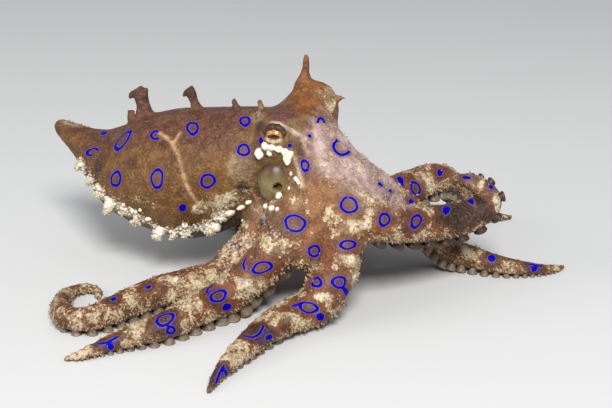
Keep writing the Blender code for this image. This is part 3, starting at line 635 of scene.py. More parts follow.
def fill_creases(item):
    """Draw the hollows between the arms outwards, as the web does, and leave the ridges."""
    places = points_of(item)
    count = len(places)
    ends = np.array([edge.vertices[:] for edge in item.data.edges])
    valence = np.bincount(ends.ravel(), minlength=count)[:, None]
    faces = np.array([face.vertices[:] for face in item.data.polygons])
    free = np.clip((places[:, 0] - REAR_OF_WEB) / WEB_FADE, 0.0, 1.0)
    for _ in range(WEB_ROUNDS):
        total = np.zeros_like(places)
        for axis in range(3):
            total[:, axis] = (np.bincount(ends[:, 0], places[ends[:, 1], axis], count)
                              + np.bincount(ends[:, 1], places[ends[:, 0], axis], count))
        drift = total / valence - places
        corners = places[faces]
        crosses = np.cross(corners[:, 2] - corners[:, 0], corners[:, 3] - corners[:, 1])
        normals = np.zeros_like(places)
        for corner in range(4):
            for axis in range(3):
                normals[:, axis] += np.bincount(faces[:, corner], crosses[:, axis], count)
        normals = unit_rows(normals)
        outward = np.clip((drift * normals).sum(axis=1), 0.0, None)
        places += normals * (outward * free)[:, None]
    set_points(item, places)


def make_trunk(lines):
    """Mantle, head and crown as one smooth form, with web between the arms."""
    parts = Parts()
    parts.add(*mantle_form())
    for centre, half in HEAD_FORMS:
        parts.add(*sphere_form(centre, half))
    for web in (FRONT_WEB, LEFT_WEB, NEAR_WEB):
        parts.add(*tube_form(web))
    for line in lines.values():
        parts.add(*crown_root_form(line))
    trunk = parts.object("trunk")
    remeshed(trunk, COARSE_VOXEL)
    fill_creases(trunk)
    smoothed(trunk, TRUNK_SMOOTHING)
    return trunk


def papilla_form(plan):
    """A skin spike with a waist and a lobed, rounded head."""
    base, tip = np.array(plan.base, dtype=float), np.array(plan.tip, dtype=float)
    axis = unit(tip - base)
    across = unit(np.cross(axis, (0.3, 0.9, 0.2)))
    around = np.cross(axis, across)
    root, waist, head = plan.radii
    rings = []
    for share, radius in ((-0.1, root), (0.12, 0.82 * root + 0.18 * waist),
                          (0.3, 0.35 * root + 0.65 * waist), (0.5, waist),
                          (0.65, 0.5 * (waist + head)), (0.8, head), (0.92, 0.9 * head),
                          (1.0, 0.55 * head)):
        rings.append(circle(base + (tip - base) * share, radius, across, around, SLIM_SIDES))
    return loft_form(rings)


def mantle_section(x):
    """The height of the mantle's middle, its half width and its half height at a place."""
    stops, *sizes = zip(*MANTLE)
    return (np.interp(x, stops, size) for size in sizes)


def mantle_place(x, below, side):
    """Where the mantle's skin is at a place along it and degrees below its middle."""
    middle, half_width, half_height = mantle_section(x)
    angle = math.radians(below)
    place = np.array([x, side * half_width * math.cos(angle),
                      middle - half_height * math.sin(angle)])
    out = unit(np.array([0.0, side * math.cos(angle) / half_width,
                         -math.sin(angle) / half_height]))
    return place, out


def ridge_plans():
    """The two rows of white papillae along the lower edges of the mantle."""
    plans = []
    for side in (-1, 1):
        for x, below, length, radius in RIDGE_PAPILLAE:
            place, out = mantle_place(x, below, side)
            lean = unit(out + np.array(RIDGE_LEAN))
            plans.append(Papilla(place - RIDGE_ROOT_DEPTH * out, place + length * lean,
                                 (radius, RIDGE_WAIST * radius, radius)))
    return plans


def sink_sockets(skin):
    """Sink the skin round each eye, so that the ball and its lids stand out of it."""
    places = points_of(skin)
    for plan in EYES:
        look = unit(np.array(plan.look))
        offset = places - np.array(plan.place)
        height = offset @ look
        apart = np.linalg.norm(offset - np.outer(height, look), axis=1)
        over = np.clip(height - SOCKET_HEIGHT, 0.0, None)
        over *= smoothstep(SOCKET_REACH, SOCKET_FLOOR, apart)
        places -= np.outer(over, look)
    set_points(skin, places)


def make_skin(lines):
    """The whole skin as one closed mesh, before its fine relief."""
    trunk = make_trunk(lines)
    parts = Parts()
    parts.add(points_of(trunk), [face.vertices[:] for face in trunk.data.polygons])
    bpy.data.objects.remove(trunk)
    for line in lines.values():
        parts.add(*arm_form(line))
    for plan in list(HORNS) + ridge_plans():
        parts.add(*papilla_form(plan))
    for centre, half in HORN_LOBES:
        parts.add(*sphere_form(np.array(centre), np.array(half), *LOBE_SIDES))
    skin = parts.object("skin")
    remeshed(skin, FINE_VOXEL)
    smoothed(skin, SKIN_SMOOTHING)
    sink_sockets(skin)
    return skin


# Where things are

# How wide the skin is looked at for its smooth direction, the least slope towards the camera of
# a place that it sees, and how far off the skin that is tried
OUTWARD_REACH = 1.2
GRAZING = 0.12
SKIN_CLEARANCE = 0.3


class Photo:
    """The photograph's camera: from a pixel to the skin, and from a place to a pixel."""

    def __init__(self, skin):
        tilt, turn = math.radians(ELEVATION), math.radians(AZIMUTH)
        self.right = np.array((math.cos(turn), math.sin(turn), 0.0))
        flat = np.array((-math.sin(turn), math.cos(turn), 0.0))
        self.ahead = flat * math.cos(tilt) - np.array((0.0, 0.0, math.sin(tilt)))
        self.up = np.cross(self.right, self.ahead)
        self.places = points_of(skin)
        self.normals = normals_of(skin)
        self.tree = BVHTree.FromPolygons(
            self.places.tolist(), [face.vertices[:] for face in skin.data.polygons])
        self.near = KDTree(len(self.places))
        for index, place in enumerate(self.places):
            self.near.insert(place, index)
        self.near.balance()

    def pixels(self, places):
        offset = places - EYE_POINT
        depth = offset @ self.ahead
        x = PICTURE[0] / 2 + FOCAL_PIXELS * (offset @ self.right) / depth
        y = PICTURE[1] / 2 - FOCAL_PIXELS * (offset @ self.up) / depth
        return x, y, depth

    def seen(self, x, y):
        """The place on the skin that a pixel shows, and the smooth direction out of it."""
        ray = unit(self.ahead + self.right * (x - PICTURE[0] / 2) / FOCAL_PIXELS
                   + self.up * (PICTURE[1] / 2 - y) / FOCAL_PIXELS)
        hit = self.tree.ray_cast(Vector(EYE_POINT), Vector(ray))
        if hit[0] is None:
            return None, None
        place = np.array(hit[0])
        return place, self.out_of(place)

    def around(self, place, reach):
        """The skin's points within reach of a place."""
        return np.array([index for _, index, _ in self.near.find_range(Vector(place), reach)])

    def out_of(self, place):
        """The smooth direction out of the skin at a place."""
        return unit(self.normals[self.around(place, OUTWARD_REACH)].sum(axis=0))

    def nearest(self, place):
        """The nearest place on the skin and the direction out of it."""
        hit, out, _, _ = self.tree.find_nearest(Vector(place))
        return np.array(hit), np.array(out)

    def shows(self, place, out):
        """Whether the photograph shows a place on the skin."""
        to_eye = unit(EYE_POINT - place)
        if to_eye.dot(out) < GRAZING:
            return False
        hit = self.tree.ray_cast(Vector(place + SKIN_CLEARANCE * to_eye), Vector(to_eye))
        return hit[0] is None


class Layout:
    """How each point lies on its arm: how far out, in millimetres and as a share of the arm's
    length, how near to its top, and how far from its middle line, in radii."""

    def __init__(self, places, lines):
        lines = list(lines.values())
        stops = [(line, index) for line in lines for index in range(len(line.travel))]
        tree = KDTree(len(stops))
        for entry, (line, index) in enumerate(stops):
            tree.insert(line.path[index], entry)
        tree.balance()
        rows = []
        for place in places:
            _, entry, distance = tree.find(place)
            line, index = stops[entry]
            along = line.travel[index] - line.root
            radius = arm_radius(along / line.length, line.fullness)
            top = -(place - line.path[index]).dot(line.orals[index]) / max(distance, 0.1)
            rows.append((along, along / line.length, top, distance / radius))
        self.along, self.share, self.top, self.far = np.array(rows).T


class Marks:
    """Signed distances to the nearest blue line, stored for each point of the skin."""

    def __init__(self, photo):
        self.photo = photo
        count = len(photo.places)
        self.line = np.full(count, FAR_FROM_LINES)
        self.whole = np.ones(count)
        self.patch = np.zeros(count)
        self.inside = np.zeros(count)
        self.centres = []

    def write(self, points, signed, whole, patch, filled):
        nearer = np.abs(signed) < np.abs(self.line[points])
        chosen = points[nearer]
        self.line[chosen] = signed[nearer]
        self.whole[chosen] = whole[nearer]
        self.patch[points] = np.maximum(self.patch[points], patch)
        if not filled:
            inner = smoothstep(0.1, -0.3, signed)
            self.inside[points] = np.maximum(self.inside[points], inner)

    def shape(self, centre, out, flat, half, mark, filled, key):
        """Write one mark; flat gives a point's place across it, in its own two directions."""
        reach = max(half) + RING_MARGIN
        near = self.photo.around(centre, reach * 1.25)
        if not len(near):
            return
        near = near[self.photo.normals[near] @ out > MARK_FACING]
        across, along = flat(self.photo.places[near])
        c, s = math.cos(math.radians(mark.turn)), math.sin(math.radians(mark.turn))
        first, second = across * c + along * s, along * c - across * s
        angle = np.arctan2(second / half[1], first / half[0])
        wave = (1 + 0.05 * np.sin(2 * angle + key) + 0.04 * np.sin(3 * angle + 2.1 * key)
                + 0.025 * np.sin(5 * angle + 3.3 * key))
        rho = np.hypot(first / half[0], second / half[1]) / wave
        mean = math.sqrt(half[0] * half[1])
        signed = (rho - 1.0) * mean
        if filled:
            signed = np.maximum(signed + RING_LINE, -0.5 * RING_LINE)
        middle = math.radians(mark.toward - mark.turn)
        turned = np.abs((angle - middle + math.pi) % (2 * math.pi) - math.pi)
        keep = smoothstep(math.pi * mark.whole + 0.25, math.pi * mark.whole - 0.1, turned)
        if mark.whole >= 1.0:
            keep = np.ones(len(near))
        patch = smoothstep(RING_MARGIN, 0.2, signed)
        self.write(near, signed, keep, patch, filled)
        self.centres.append((np.array(centre), mean))

    def from_photo(self, mark, filled, key):
        centre, out = self.photo.seen(mark.x, mark.y)
        if centre is None:
            return
        depth = self.photo.pixels(centre[None, :])[2][0]
        scale = depth / FOCAL_PIXELS

        def flat(places):
            on_plane = places - np.outer((places - centre) @ out, out)
            x, y, _ = self.photo.pixels(on_plane)
            return (x - mark.x) * scale, (mark.y - y) * scale

        half = (mark.width / 2 * scale, mark.height / 2 * scale)
        if not filled:
            half = tuple(max(LEAST_RING, value - RING_LINE) for value in half)
        self.shape(centre, out, flat, half, mark, filled, key)

    def stroke(self, way):
        """An open line through the places that a few pixels show."""
        seen = [self.photo.seen(*pixel) for pixel in way]
        if any(place is None for place, _ in seen):
            return
        path, _ = smooth_path([place for place, _ in seen], STROKE_STEP)
        out = unit(sum(direction for _, direction in seen))
        tangents = unit_rows(np.gradient(path, axis=0))
        middle = path.mean(axis=0)
        reach = np.linalg.norm(path - middle, axis=1).max() + RING_MARGIN
        near = self.photo.around(middle, reach)
        near = near[self.photo.normals[near] @ out > MARK_FACING]
        offsets = self.photo.places[near][:, None, :] - path[None, :, :]
        apart = np.linalg.norm(offsets, axis=2)
        nearest = apart.argmin(axis=1)
        apart, offset = apart.min(axis=1), offsets[np.arange(len(near)), nearest]
        beyond = np.abs((offset * tangents[nearest]).sum(axis=1))
        side = np.sign((np.cross(out, tangents[nearest]) * offset).sum(axis=1))
        self.write(near, side * apart, smoothstep(0.3, 0.05, beyond),
                   smoothstep(RING_MARGIN, 0.2, apart), True)
        self.centres.append((middle, reach - RING_MARGIN))

    def from_place(self, place, half, turn, filled, key):
        """A mark on a side that the photograph doesn't show."""
        centre, _ = self.photo.nearest(place)
        out = self.photo.out_of(centre)
        for other, size in self.centres:
            if np.linalg.norm(other - centre) < size + max(half) + HIDDEN_MARK_GAP:
                return
        first = unit(np.cross(out, (0.1, 0.3, 1.0)))
        second = np.cross(out, first)
        for angle in np.linspace(0, 2 * math.pi, 8, endpoint=False):
            step = 1.5 * max(half) * (math.cos(angle) * first + math.sin(angle) * second)
            if self.photo.shows(*self.photo.nearest(centre + step)):
                return

        def flat(places):
            offset = places - centre
            return offset @ first, offset @ second

        self.shape(centre, out, flat, half, Mark(0, 0, 0, 0, turn), filled, key)


def place_marks(photo, lines):
    """The marks that the photograph shows, and guessed ones on the sides that it doesn't."""
    marks = Marks(photo)
    for key, mark in enumerate(RINGS):
        marks.from_photo(mark, False, key + 0.5)
    for key, mark in enumerate(DOTS):
        marks.from_photo(mark, True, key + 0.2)
    for way in STROKES:
        marks.stroke(way)
    key = HIDDEN_MARK_KEY
    for side in (-1, 1):
        for x, below, size in MANTLE_MARKS:
            key += 1.0
            place, _ = mantle_place(x, below, side)
            marks.from_place(place, (size, 1.1 * size), 20 * key, False, key)
    for place, size in HEAD_MARKS:
        key += 1.0
        marks.from_place(np.array(place), (size, 0.9 * size), 0.0, False, key)
    for line in lines.values():
        along = ARM_MARK_ENDS
        row = 1
        while along < line.length - ARM_MARK_ENDS:
            place, tangent, oral, radius = line.at(along)
            side = np.cross(oral, tangent)
            size = max(LEAST_ARM_MARK, ARM_MARK_SHARE * radius)
            for tilt in ARM_MARK_LINES:
                key += 1.0
                angle = math.radians(tilt * row)
                spot = place + radius * (math.sin(angle) * side - math.cos(angle) * oral)
                marks.from_place(spot, (1.15 * size, size), 0.0, size < LARGEST_DOT, key)
            along += ARM_MARK_GAP[0] + ARM_MARK_GAP[1] * radius
            row = -row
    return marks


# Relief and colour

# How deep the skin's colours are in the photograph's water, for red, green and blue
FLESH_DEPTH = (0.60, 0.58, 0.50)


def flesh(red, green, blue):
    """A colour of the skin, as deep as it is in the photograph's water."""
    return linear(red, green, blue) * np.array(FLESH_DEPTH)


MANTLE_TONE = flesh(154, 110, 58)
# Painted shade: the mantle's rear, away from the light, is made darker
MANTLE_REAR_SHADE = flesh(134, 90, 50)
MANTLE_TOP = flesh(128, 82, 70)
BLOTCH = flesh(84, 52, 34)
MAROON = flesh(58, 32, 38)
OLIVE = flesh(130, 110, 72)
NECK = flesh(160, 124, 88)
SADDLE = flesh(132, 78, 80)
DOME = flesh(172, 108, 56)
SLOPE = linear(172, 144, 136)
LILAC = linear(188, 163, 159)
CROWN_TONE = flesh(176, 122, 78)
ARM_TONE = flesh(160, 102, 66)
PIT = flesh(98, 74, 54)
CREAM = flesh(236, 220, 192)
WHITE = linear(232, 228, 212)
BONE = linear(216, 210, 186)
RING_PATCH = flesh(156, 90, 46)
FAR_PATCH = flesh(66, 44, 44)
RING_MIDDLE = flesh(126, 88, 82)
ORAL_TONE = flesh(140, 124, 108)
DARK = flesh(38, 28, 32)
DARK_BLUE = flesh(44, 42, 100)
TAIL = flesh(144, 92, 46)
# Painted shade under the raised arm
RAISED_ARM_SHADE = flesh(62, 42, 34)
# Painted shade in the hollow above the funnel
FUNNEL_HOLLOW_SHADE = flesh(124, 92, 50)
ROSY = flesh(196, 164, 148)
ASHEN = flesh(116, 94, 92)

CRUST_SHADE = flesh(176, 142, 104)
# Painted highlight on the crust's raised grains
CRUST_HIGHLIGHT = flesh(255, 246, 230)
CRUST_PIT = flesh(120, 92, 66)
RING_HALO = flesh(100, 64, 36)
RING_EDGE = flesh(150, 122, 190)
RING_BLUE = linear(8, 2, 176)
RING_BLUE_EDGE = linear(4, 1, 104)
LOBE_SHADE = linear(206, 190, 160)
FUNNEL_SHADE = flesh(138, 122, 76)
FUNNEL_LIGHT = flesh(170, 160, 118)
# Painted shade on the funnel's top, under the mantle
FUNNEL_TOP_SHADE = flesh(88, 60, 32)
FUNNEL_SPECK = flesh(92, 66, 40)
PALE_LINE = linear(206, 166, 128)
PALE_FOLD = flesh(226, 190, 182)
PALE_RIDGE = flesh(240, 214, 206)

# The folds and pale lines that the photograph shows: pixels along each, its half width, how far
# it stands up and its tone
Fold = namedtuple("Fold", "way width lift tone")
FOLDS = (
    Fold(((160, 133), (169.7, 140.7), (178.4, 156), (182.7, 172), (187, 186), (193.6, 197),
          (200, 206)), 0.30, 0.30, PALE_LINE),
    Fold(((180.6, 133), (174, 143)), 0.28, 0.25, PALE_LINE),
    Fold(((251, 189.5), (256, 198), (261, 206)), 0.20, 0.20, linear(222, 176, 130)),
    Fold(((291, 151), (296, 163), (300, 175), (302, 187)), 0.34, 0.30, linear(216, 186, 158)),
    Fold(((303, 141), (308, 152), (318, 160), (331, 166)), 0.40, 0.35, PALE_FOLD),
    Fold(((331, 166), (341, 176), (352, 187), (366, 197)), 0.35, 0.30, PALE_FOLD),
    Fold(((324, 128), (338, 142), (356, 160), (376, 184)), 0.30, 0.30, PALE_RIDGE),
    Fold(((338, 133), (352, 148), (368, 168), (390, 192)), 0.30, 0.35, PALE_RIDGE),
    Fold(((316, 136), (330, 152), (346, 168), (360, 186)), 0.28, 0.25, PALE_RIDGE),
    Fold(((272, 123), (283, 126), (294, 132), (306, 139)), 0.42, 0.35, flesh(244, 226, 212)),
)

# The stains, and two patches of painted shade, that the photograph shows, in its pixels: the
# share that each tone takes, the turn of the longer axis in degrees, clockwise, and how much pale
# crust it adds or takes
StainOrShade = namedtuple("StainOrShade", "x y width height tone share turn crust", defaults=(0, 0.0))
STAINS_AND_SHADE = tuple(StainOrShade(*row) for row in (
    # the mantle
    (165, 145, 14, 11, BLOTCH, 0.6), (132, 162.5, 12, 9, BLOTCH, 0.45),
    (201, 148, 12, 8, BLOTCH, 0.45), (180.6, 192, 9, 11, BLOTCH, 0.5),
    (98, 167, 9, 18, MAROON, 0.7), (243, 187, 15, 12, MAROON, 0.9),
    (70, 139, 30, 14, TAIL, 0.8, 20, -0.6), (78, 124, 40, 7, CREAM, 0.3, 8, 0.45),
    (146, 93, 26, 10, BLOTCH, 0.6), (192, 93, 16, 13, BLOTCH, 0.8),
    (217, 203, 66, 18, CREAM, 0.12, -17, 0.9), (200, 208, 20, 12, CREAM, 0.3, 0, 0.5),
    (140, 200, 60, 10, CREAM, 0.0, 22, 0.35), (240, 168, 26, 34, CREAM, 0.3),
    # the head
    (261, 126, 12, 14, BLOTCH, 0.75), (256, 117, 16, 12, CREAM, 0.3, 0, 0.3),
    (287, 113, 42, 17, SADDLE, 0.9, 0, -0.3), (304, 102, 36, 32, DOME, 0.95, 0, -0.4),
    (330, 100, 13, 32, CREAM, 0.4, 0, 0.65), (320, 93, 12, 6, CREAM, 0.2, 30, 0.5),
    (302, 150, 11, 24, BLOTCH, 0.8, 0, -0.6), (354, 162, 124, 48, LILAC, 0.95, 38, -0.1),
    (330, 160, 30, 34, LILAC, 0.5, 30), (392, 196, 40, 12, LILAC, 0.6, 32),
    # the dark brown patch over the funnel is painted shade of the hollow there
    (269, 166, 40, 26, FUNNEL_HOLLOW_SHADE, 0.85, 0, -0.4), (271, 190, 40, 30, OLIVE, 0.7, 0, -0.2),
    # the crown
    (320, 192, 38, 34, CROWN_TONE, 0.9, 0, -0.2), (264, 222, 10, 14, DARK_BLUE, 0.9),
    (276, 247, 26, 18, CREAM, 0.25, 0, 0.35), (350, 226, 20, 15, CREAM, 0.3, 0, 0.5),
    (300, 203, 22, 12, CREAM, 0.15, 0, 0.3), (262, 212, 22, 14, CREAM, 0.3, 30, 0.5),
    (322, 230, 14, 34, CROWN_TONE, 0.8, -24, -0.8),
    (275, 226, 32, 34, ASHEN, 0.5, 0, -0.2),
    # the near arms
    (347, 260, 26, 12, CREAM, 0.25, 0, 0.35), (353, 278, 13, 15, CREAM, 0.3, 0, 0.6),
    (316, 265, 16, 10, CREAM, 0.3, 0, 0.5), (323, 297, 20, 10, CREAM, 0.3, 0, 0.6),
    (328, 258, 11, 50, RING_PATCH, 0.7, 0, -0.8), (287, 317, 20, 10, CREAM, 0.3, 0, 0.6),
    (319, 328, 38, 13, CREAM, 0.3, -15, 0.4), (236, 246, 10, 9, DARK_BLUE, 0.8),
    (249, 285, 28, 20, CREAM, 0.3, 0, 0.8), (194, 306, 18, 16, CREAM, 0.2, 0, 0.6),
    (132, 336, 26, 16, OLIVE, 0.5, 0, -0.1), (180, 312, 8, 8, CREAM, 0.1, 0, 0.4),
    (72, 352, 8, 9, DARK_BLUE, 0.7), (108, 335, 24, 20, FAR_PATCH, 0.8, 0, -0.7),
    (168, 322, 28, 24, FAR_PATCH, 0.55, 0, -0.7), (218, 300, 28, 24, FAR_PATCH, 0.5, 0, -0.7),
    (260, 332, 34, 18, FAR_PATCH, 0.85, 0, -0.8), (213, 374, 14, 26, DARK_BLUE, 0.6, 20, -0.6),
    # the raised arms
    (448, 210, 17, 15, DARK, 0.95, 0, -0.8), (478, 204, 22, 14, DARK, 0.9, 0, -0.8),
    # the wide umber patch below is painted shade on the raised arm's underside
    (462, 216, 66, 30, RAISED_ARM_SHADE, 0.9, -8, -1.0), (488, 212, 18, 20, BLOTCH, 0.8, 0, -0.9),
    (408, 222, 34, 24, FAR_PATCH, 0.45, 0, -0.5),
    (466, 184, 44, 20, ROSY, 0.7, 0, 0.1), (422, 176, 14, 9, CREAM, 0.3, 0, 0.5),
    (430, 186, 10, 24, CREAM, 0.3, 0, 0.5), (478, 240, 12, 6, CREAM, 0.3, 0, 0.6),
    (496, 196, 6, 20, CREAM, 0.3, 0, 0.5),
))


def field(places, size, rounds, shift):
    """A soft random field over the places, from about -1 to 1, with lumps of the size."""
    start = Vector((shift, -shift, 2 * shift))
    return np.array([noise.fractal(Vector(place) / size + start, 1.0, 2.0, rounds)
                     for place in places])


def mix(colours, tone, share):
    """The colours, drawn towards a tone by a share at each point."""
    return colours + (tone - colours) * np.clip(share, 0.0, 1.0)[:, None]


def ridge_angle(x):
    """How far below the mantle's middle its edge of papillae runs, in degrees."""
    stops, below, _, _ = zip(*sorted(RIDGE_PAPILLAE))
    return np.interp(x, stops, below)


class MantleMap:
    """Where each point lies on the mantle: how high, and how far above its papillae edge."""

    def __init__(self, places):
        x, y, z = places.T
        middle, half_width, half_height = mantle_section(x)
        self.height = (z - middle) / half_height
        below = np.degrees(np.arctan2((middle - z) / half_height, np.abs(y) / half_width))
        self.over_edge = np.radians(ridge_angle(x) - below) * 0.5 * (half_width + half_height)


def line_share(photo, way, width):
    """How near each point is to a line seen through pixels, from 0 to 1."""
    seen = [photo.seen(*pixel)[0] for pixel in way]
    seen = [place for place in seen if place is not None]
    if len(seen) < 2:
        return np.zeros(len(photo.places))
    path, _ = smooth_path(seen, LINE_STEP)
    share = np.zeros(len(photo.places))
    for place in path:
        for _, index, distance in photo.near.find_range(Vector(place), 3.0 * width):
            share[index] = max(share[index], math.exp(-(distance / width) ** 2))
    return share


def stain_or_shade_share(photo, stain_or_shade, ragged):
    """How much of a stain or a patch of painted shade each point takes, with a ragged edge."""
    centre, _ = photo.seen(stain_or_shade.x, stain_or_shade.y)
    if centre is None:
        return np.zeros(len(photo.places))
    scale = photo.pixels(centre[None, :])[2][0] / FOCAL_PIXELS
    x, y, _ = photo.pixels(photo.places)
    c, s = math.cos(math.radians(stain_or_shade.turn)), math.sin(math.radians(stain_or_shade.turn))
    along, across = c * (x - stain_or_shade.x) + s * (y - stain_or_shade.y), c * (y - stain_or_shade.y) - s * (x - stain_or_shade.x)
    rho = np.hypot(along / (0.5 * stain_or_shade.width), across / (0.5 * stain_or_shade.height))
    rho = rho * (1 + 0.35 * ragged)
    apart = np.linalg.norm(photo.places - centre, axis=1)
    reach = 0.5 * max(stain_or_shade.width, stain_or_shade.height) * scale
    near = smoothstep(1.9 * reach + 1.5, 1.3 * reach + 0.6, apart)
    facing = smoothstep(-0.35, 0.05, -(photo.normals @ photo.ahead))
    return smoothstep(1.25, 0.6, rho) * near * facing


# The skin's random fields: the lumps' size, the rounds of finer ones and a shift of their own
BROAD_FIELD = (9.0, 3, 3.1)
MIDDLE_FIELD = (2.4, 3, 9.4)
SMALL_FIELD = (0.9, 2, 5.7)


class Surface:
    """Everything about the skin's points that its colours and its relief are made from."""

    def __init__(self, photo, lines, marks):
        self.photo = photo
        self.marks = marks
        self.places = photo.places
        self.normals = photo.normals
        self.layout = Layout(self.places, lines)
        self.on_mantle = MantleMap(self.places)
        self.broad = field(self.places, *BROAD_FIELD)
        self.middle = field(self.places, *MIDDLE_FIELD)
        self.small = field(self.places, *SMALL_FIELD)
        self.weigh_regions()

    def weigh_regions(self):
        x, y, _ = self.places.T
        layout = self.layout
        arm = smoothstep(-4.5, 2.5, layout.along) * smoothstep(2.2, 1.4, layout.far)
        self.arm = np.clip(arm, 0.0, 1.0)
        self.mantle = smoothstep(-4.0, -9.0, x) * (1 - self.arm)
        self.oral = self.arm * smoothstep(-0.25, -0.7, layout.top)
        front = smoothstep(3.0, 8.0, x) * smoothstep(-10.0, -4.0, y)
        self.slope = front * smoothstep(0.25, 0.7, self.normals[:, 2]) * (1 - self.arm)
        over = self.on_mantle.over_edge
        gaps = smoothstep(-0.35, 0.25, self.middle + smoothstep(-38.0, -26.0, x))
        fringed = self.mantle * smoothstep(-44.0, -40.5, x)
        self.edge = np.exp(-(over / 0.5) ** 2) * fringed * smoothstep(-7.0, -9.5, x) * gaps
        self.spray = (smoothstep(3.4, 0.2, over) * smoothstep(-0.6, 0.1, over) * fringed
                      * smoothstep(-6.0, -10.0, x))
        self.belly = self.mantle * smoothstep(-0.5, -1.6, over)


def skin_tones(surface):
    """The skin's broad colours, each tone over those before it."""
    x, y, z = surface.places.T
    mantle, arm, patch = surface.mantle, surface.arm, surface.marks.patch
    height = surface.on_mantle.height + 0.3 * surface.broad
    dark = surface.middle + 0.5 * surface.broad
    outer = smoothstep(16.0, 28.0, surface.layout.along) * arm
    colours = np.tile(NECK, (len(x), 1))
    for tone, share in (
            (MANTLE_TONE, mantle),
            # painted shade, darker towards the mantle's rear
            (MANTLE_REAR_SHADE, mantle * smoothstep(-26.0, -40.0, x)),
            (MANTLE_TOP, mantle * smoothstep(0.35, 0.9, height) * 0.85),
            (BLOTCH, mantle * smoothstep(0.3, 0.8, dark) * 0.35),
            (OLIVE, surface.belly * 0.85),
            (CROWN_TONE, smoothstep(24.0, 19.0, z) * smoothstep(-6.0, -2.0, x)),
            (DOME, smoothstep(28.5, 31.0, z) * smoothstep(2.0, 4.5, y) * 0.9),
            (SLOPE, surface.slope * (0.7 + 0.35 * surface.middle)),
            (ARM_TONE, arm),
            (PIT, arm * smoothstep(0.15, 0.6, -surface.middle) * 0.6),
            (RING_PATCH, patch * (0.35 + 0.5 * arm) * (1 - 0.5 * outer)),
            (FAR_PATCH, patch * outer * 0.75)):
        colours = mix(colours, tone, share)
    return colours


def pale_share(surface, crust):
    """How pale each point is, with the crust that the stains add or take."""
    x, _, z = surface.places.T
    middle, small = surface.middle, surface.small
    trunk = (1 - surface.mantle) * (1 - surface.arm)
    web = trunk * smoothstep(22.0, 18.0, z)
    face = trunk * smoothstep(29.0, 26.0, z) * smoothstep(1.0, 4.0, x)
    pale = surface.arm * (0.5 + 0.25 * surface.broad + 0.55 * middle + 0.25 * small)
    pale += surface.slope * (0.2 + 0.3 * middle)
    pale += web * (0.25 + 0.5 * middle + 0.3 * small)
    pale += face * (0.12 + 0.3 * middle + 0.3 * small)
    crust = crust * (0.75 + 0.9 * middle + 0.6 * small)
    pale = np.clip(pale - 1.15 * surface.marks.patch + crust, 0.0, 1.0)
    pale = np.maximum(pale, 0.95 * surface.edge)
    pale = np.maximum(pale, surface.spray * smoothstep(0.0, 0.5, small))
    pale *= 1 - 0.8 * surface.oral
    for plan in ridge_plans():
        apart = np.linalg.norm(surface.places - np.array(plan.tip), axis=1)
        reach = np.linalg.norm(np.array(plan.tip) - plan.base)
        pale = np.maximum(pale, smoothstep(reach, 0.75 * reach, apart))
    return np.clip(pale, 0.0, 1.0)


def paint(surface):
    """The skin's colours, how pale each point is, and how far its folds stand up."""
    colours = skin_tones(surface)
    crust = np.zeros(len(colours))
    for stain_or_shade in STAINS_AND_SHADE:
        share = stain_or_shade_share(surface.photo, stain_or_shade, surface.middle)
        colours = mix(colours, stain_or_shade.tone, stain_or_shade.share * share)
        crust += stain_or_shade.crust * share
    surface.bare = np.clip(-crust, 0.0, 1.0)
    colours = mix(colours, ORAL_TONE, surface.oral)
    colours = mix(colours, RING_MIDDLE, surface.marks.inside * 0.6)
    wrinkles = np.clip(surface.slope + 0.6 * surface.arm, 0.0, 1.0)
    wrinkles = wrinkles * (1 - 0.8 * surface.marks.patch)
    lift = WRINKLE_LIFT * wrinkles * (surface.small + 0.6 * surface.middle)
    for fold in FOLDS:
        share = line_share(surface.photo, fold.way, fold.width)
        colours = mix(colours, fold.tone, share)
        lift = np.maximum(lift, fold.lift * share)
    return colours, pale_share(surface, crust), lift


def store(item, name, values):
    """Keep one number, or one colour, for each point of a mesh."""
    mesh = item.data
    if values.ndim == 1:
        attribute = mesh.attributes.new(name, "FLOAT", "POINT")
        attribute.data.foreach_set("value", values.astype(float))
        return
    attribute = mesh.attributes.new(name, "FLOAT_COLOR", "POINT")
    full = np.column_stack([values, np.ones(len(values))])
    attribute.data.foreach_set("color", full.ravel())


def spaced_points(places, chance, spacing, count):
    """Points drawn at random by their chance, none nearer to another than the spacing."""
    order = rng.permutation(len(places))
    order = order[rng.random(len(order)) < chance[order]]
    grid = {}
    chosen = []
    for index in order:
        cell = tuple(np.floor(places[index] / spacing).astype(int))
        around = [other for dx in (-1, 0, 1) for dy in (-1, 0, 1) for dz in (-1, 0, 1)
                  for other in grid.get((cell[0] + dx, cell[1] + dy, cell[2] + dz), ())]
        if around and np.linalg.norm(places[around] - places[index], axis=1).min() < spacing:
            continue
        grid.setdefault(cell, []).append(index)
        chosen.append(index)
        if len(chosen) == count:
            break
    return chosen


def raise_granules(surface, pale):
    """Lift small rounded bumps all over the skin, larger where it is pale."""
    marks, places = surface.marks, surface.places
    lift = np.zeros(len(places))
    for index in spaced_points(places, np.ones(len(places)), GRANULE_GAP, GRANULE_COUNT):
        strength = 0.04 + 0.26 * pale[index]
        strength *= (1.0 - 0.8 * marks.patch[index]) * (1.0 - 0.7 * surface.oral[index])
        strength *= 0.6 + 0.8 * rng.random()
        radius = GRANULE_RADIUS[0] + GRANULE_RADIUS[1] * rng.random()
        for _, other, distance in surface.photo.near.find_range(places[index], radius):
            bump = strength * (1 - (distance / radius) ** 2)
            lift[other] = max(lift[other], bump)
    return lift


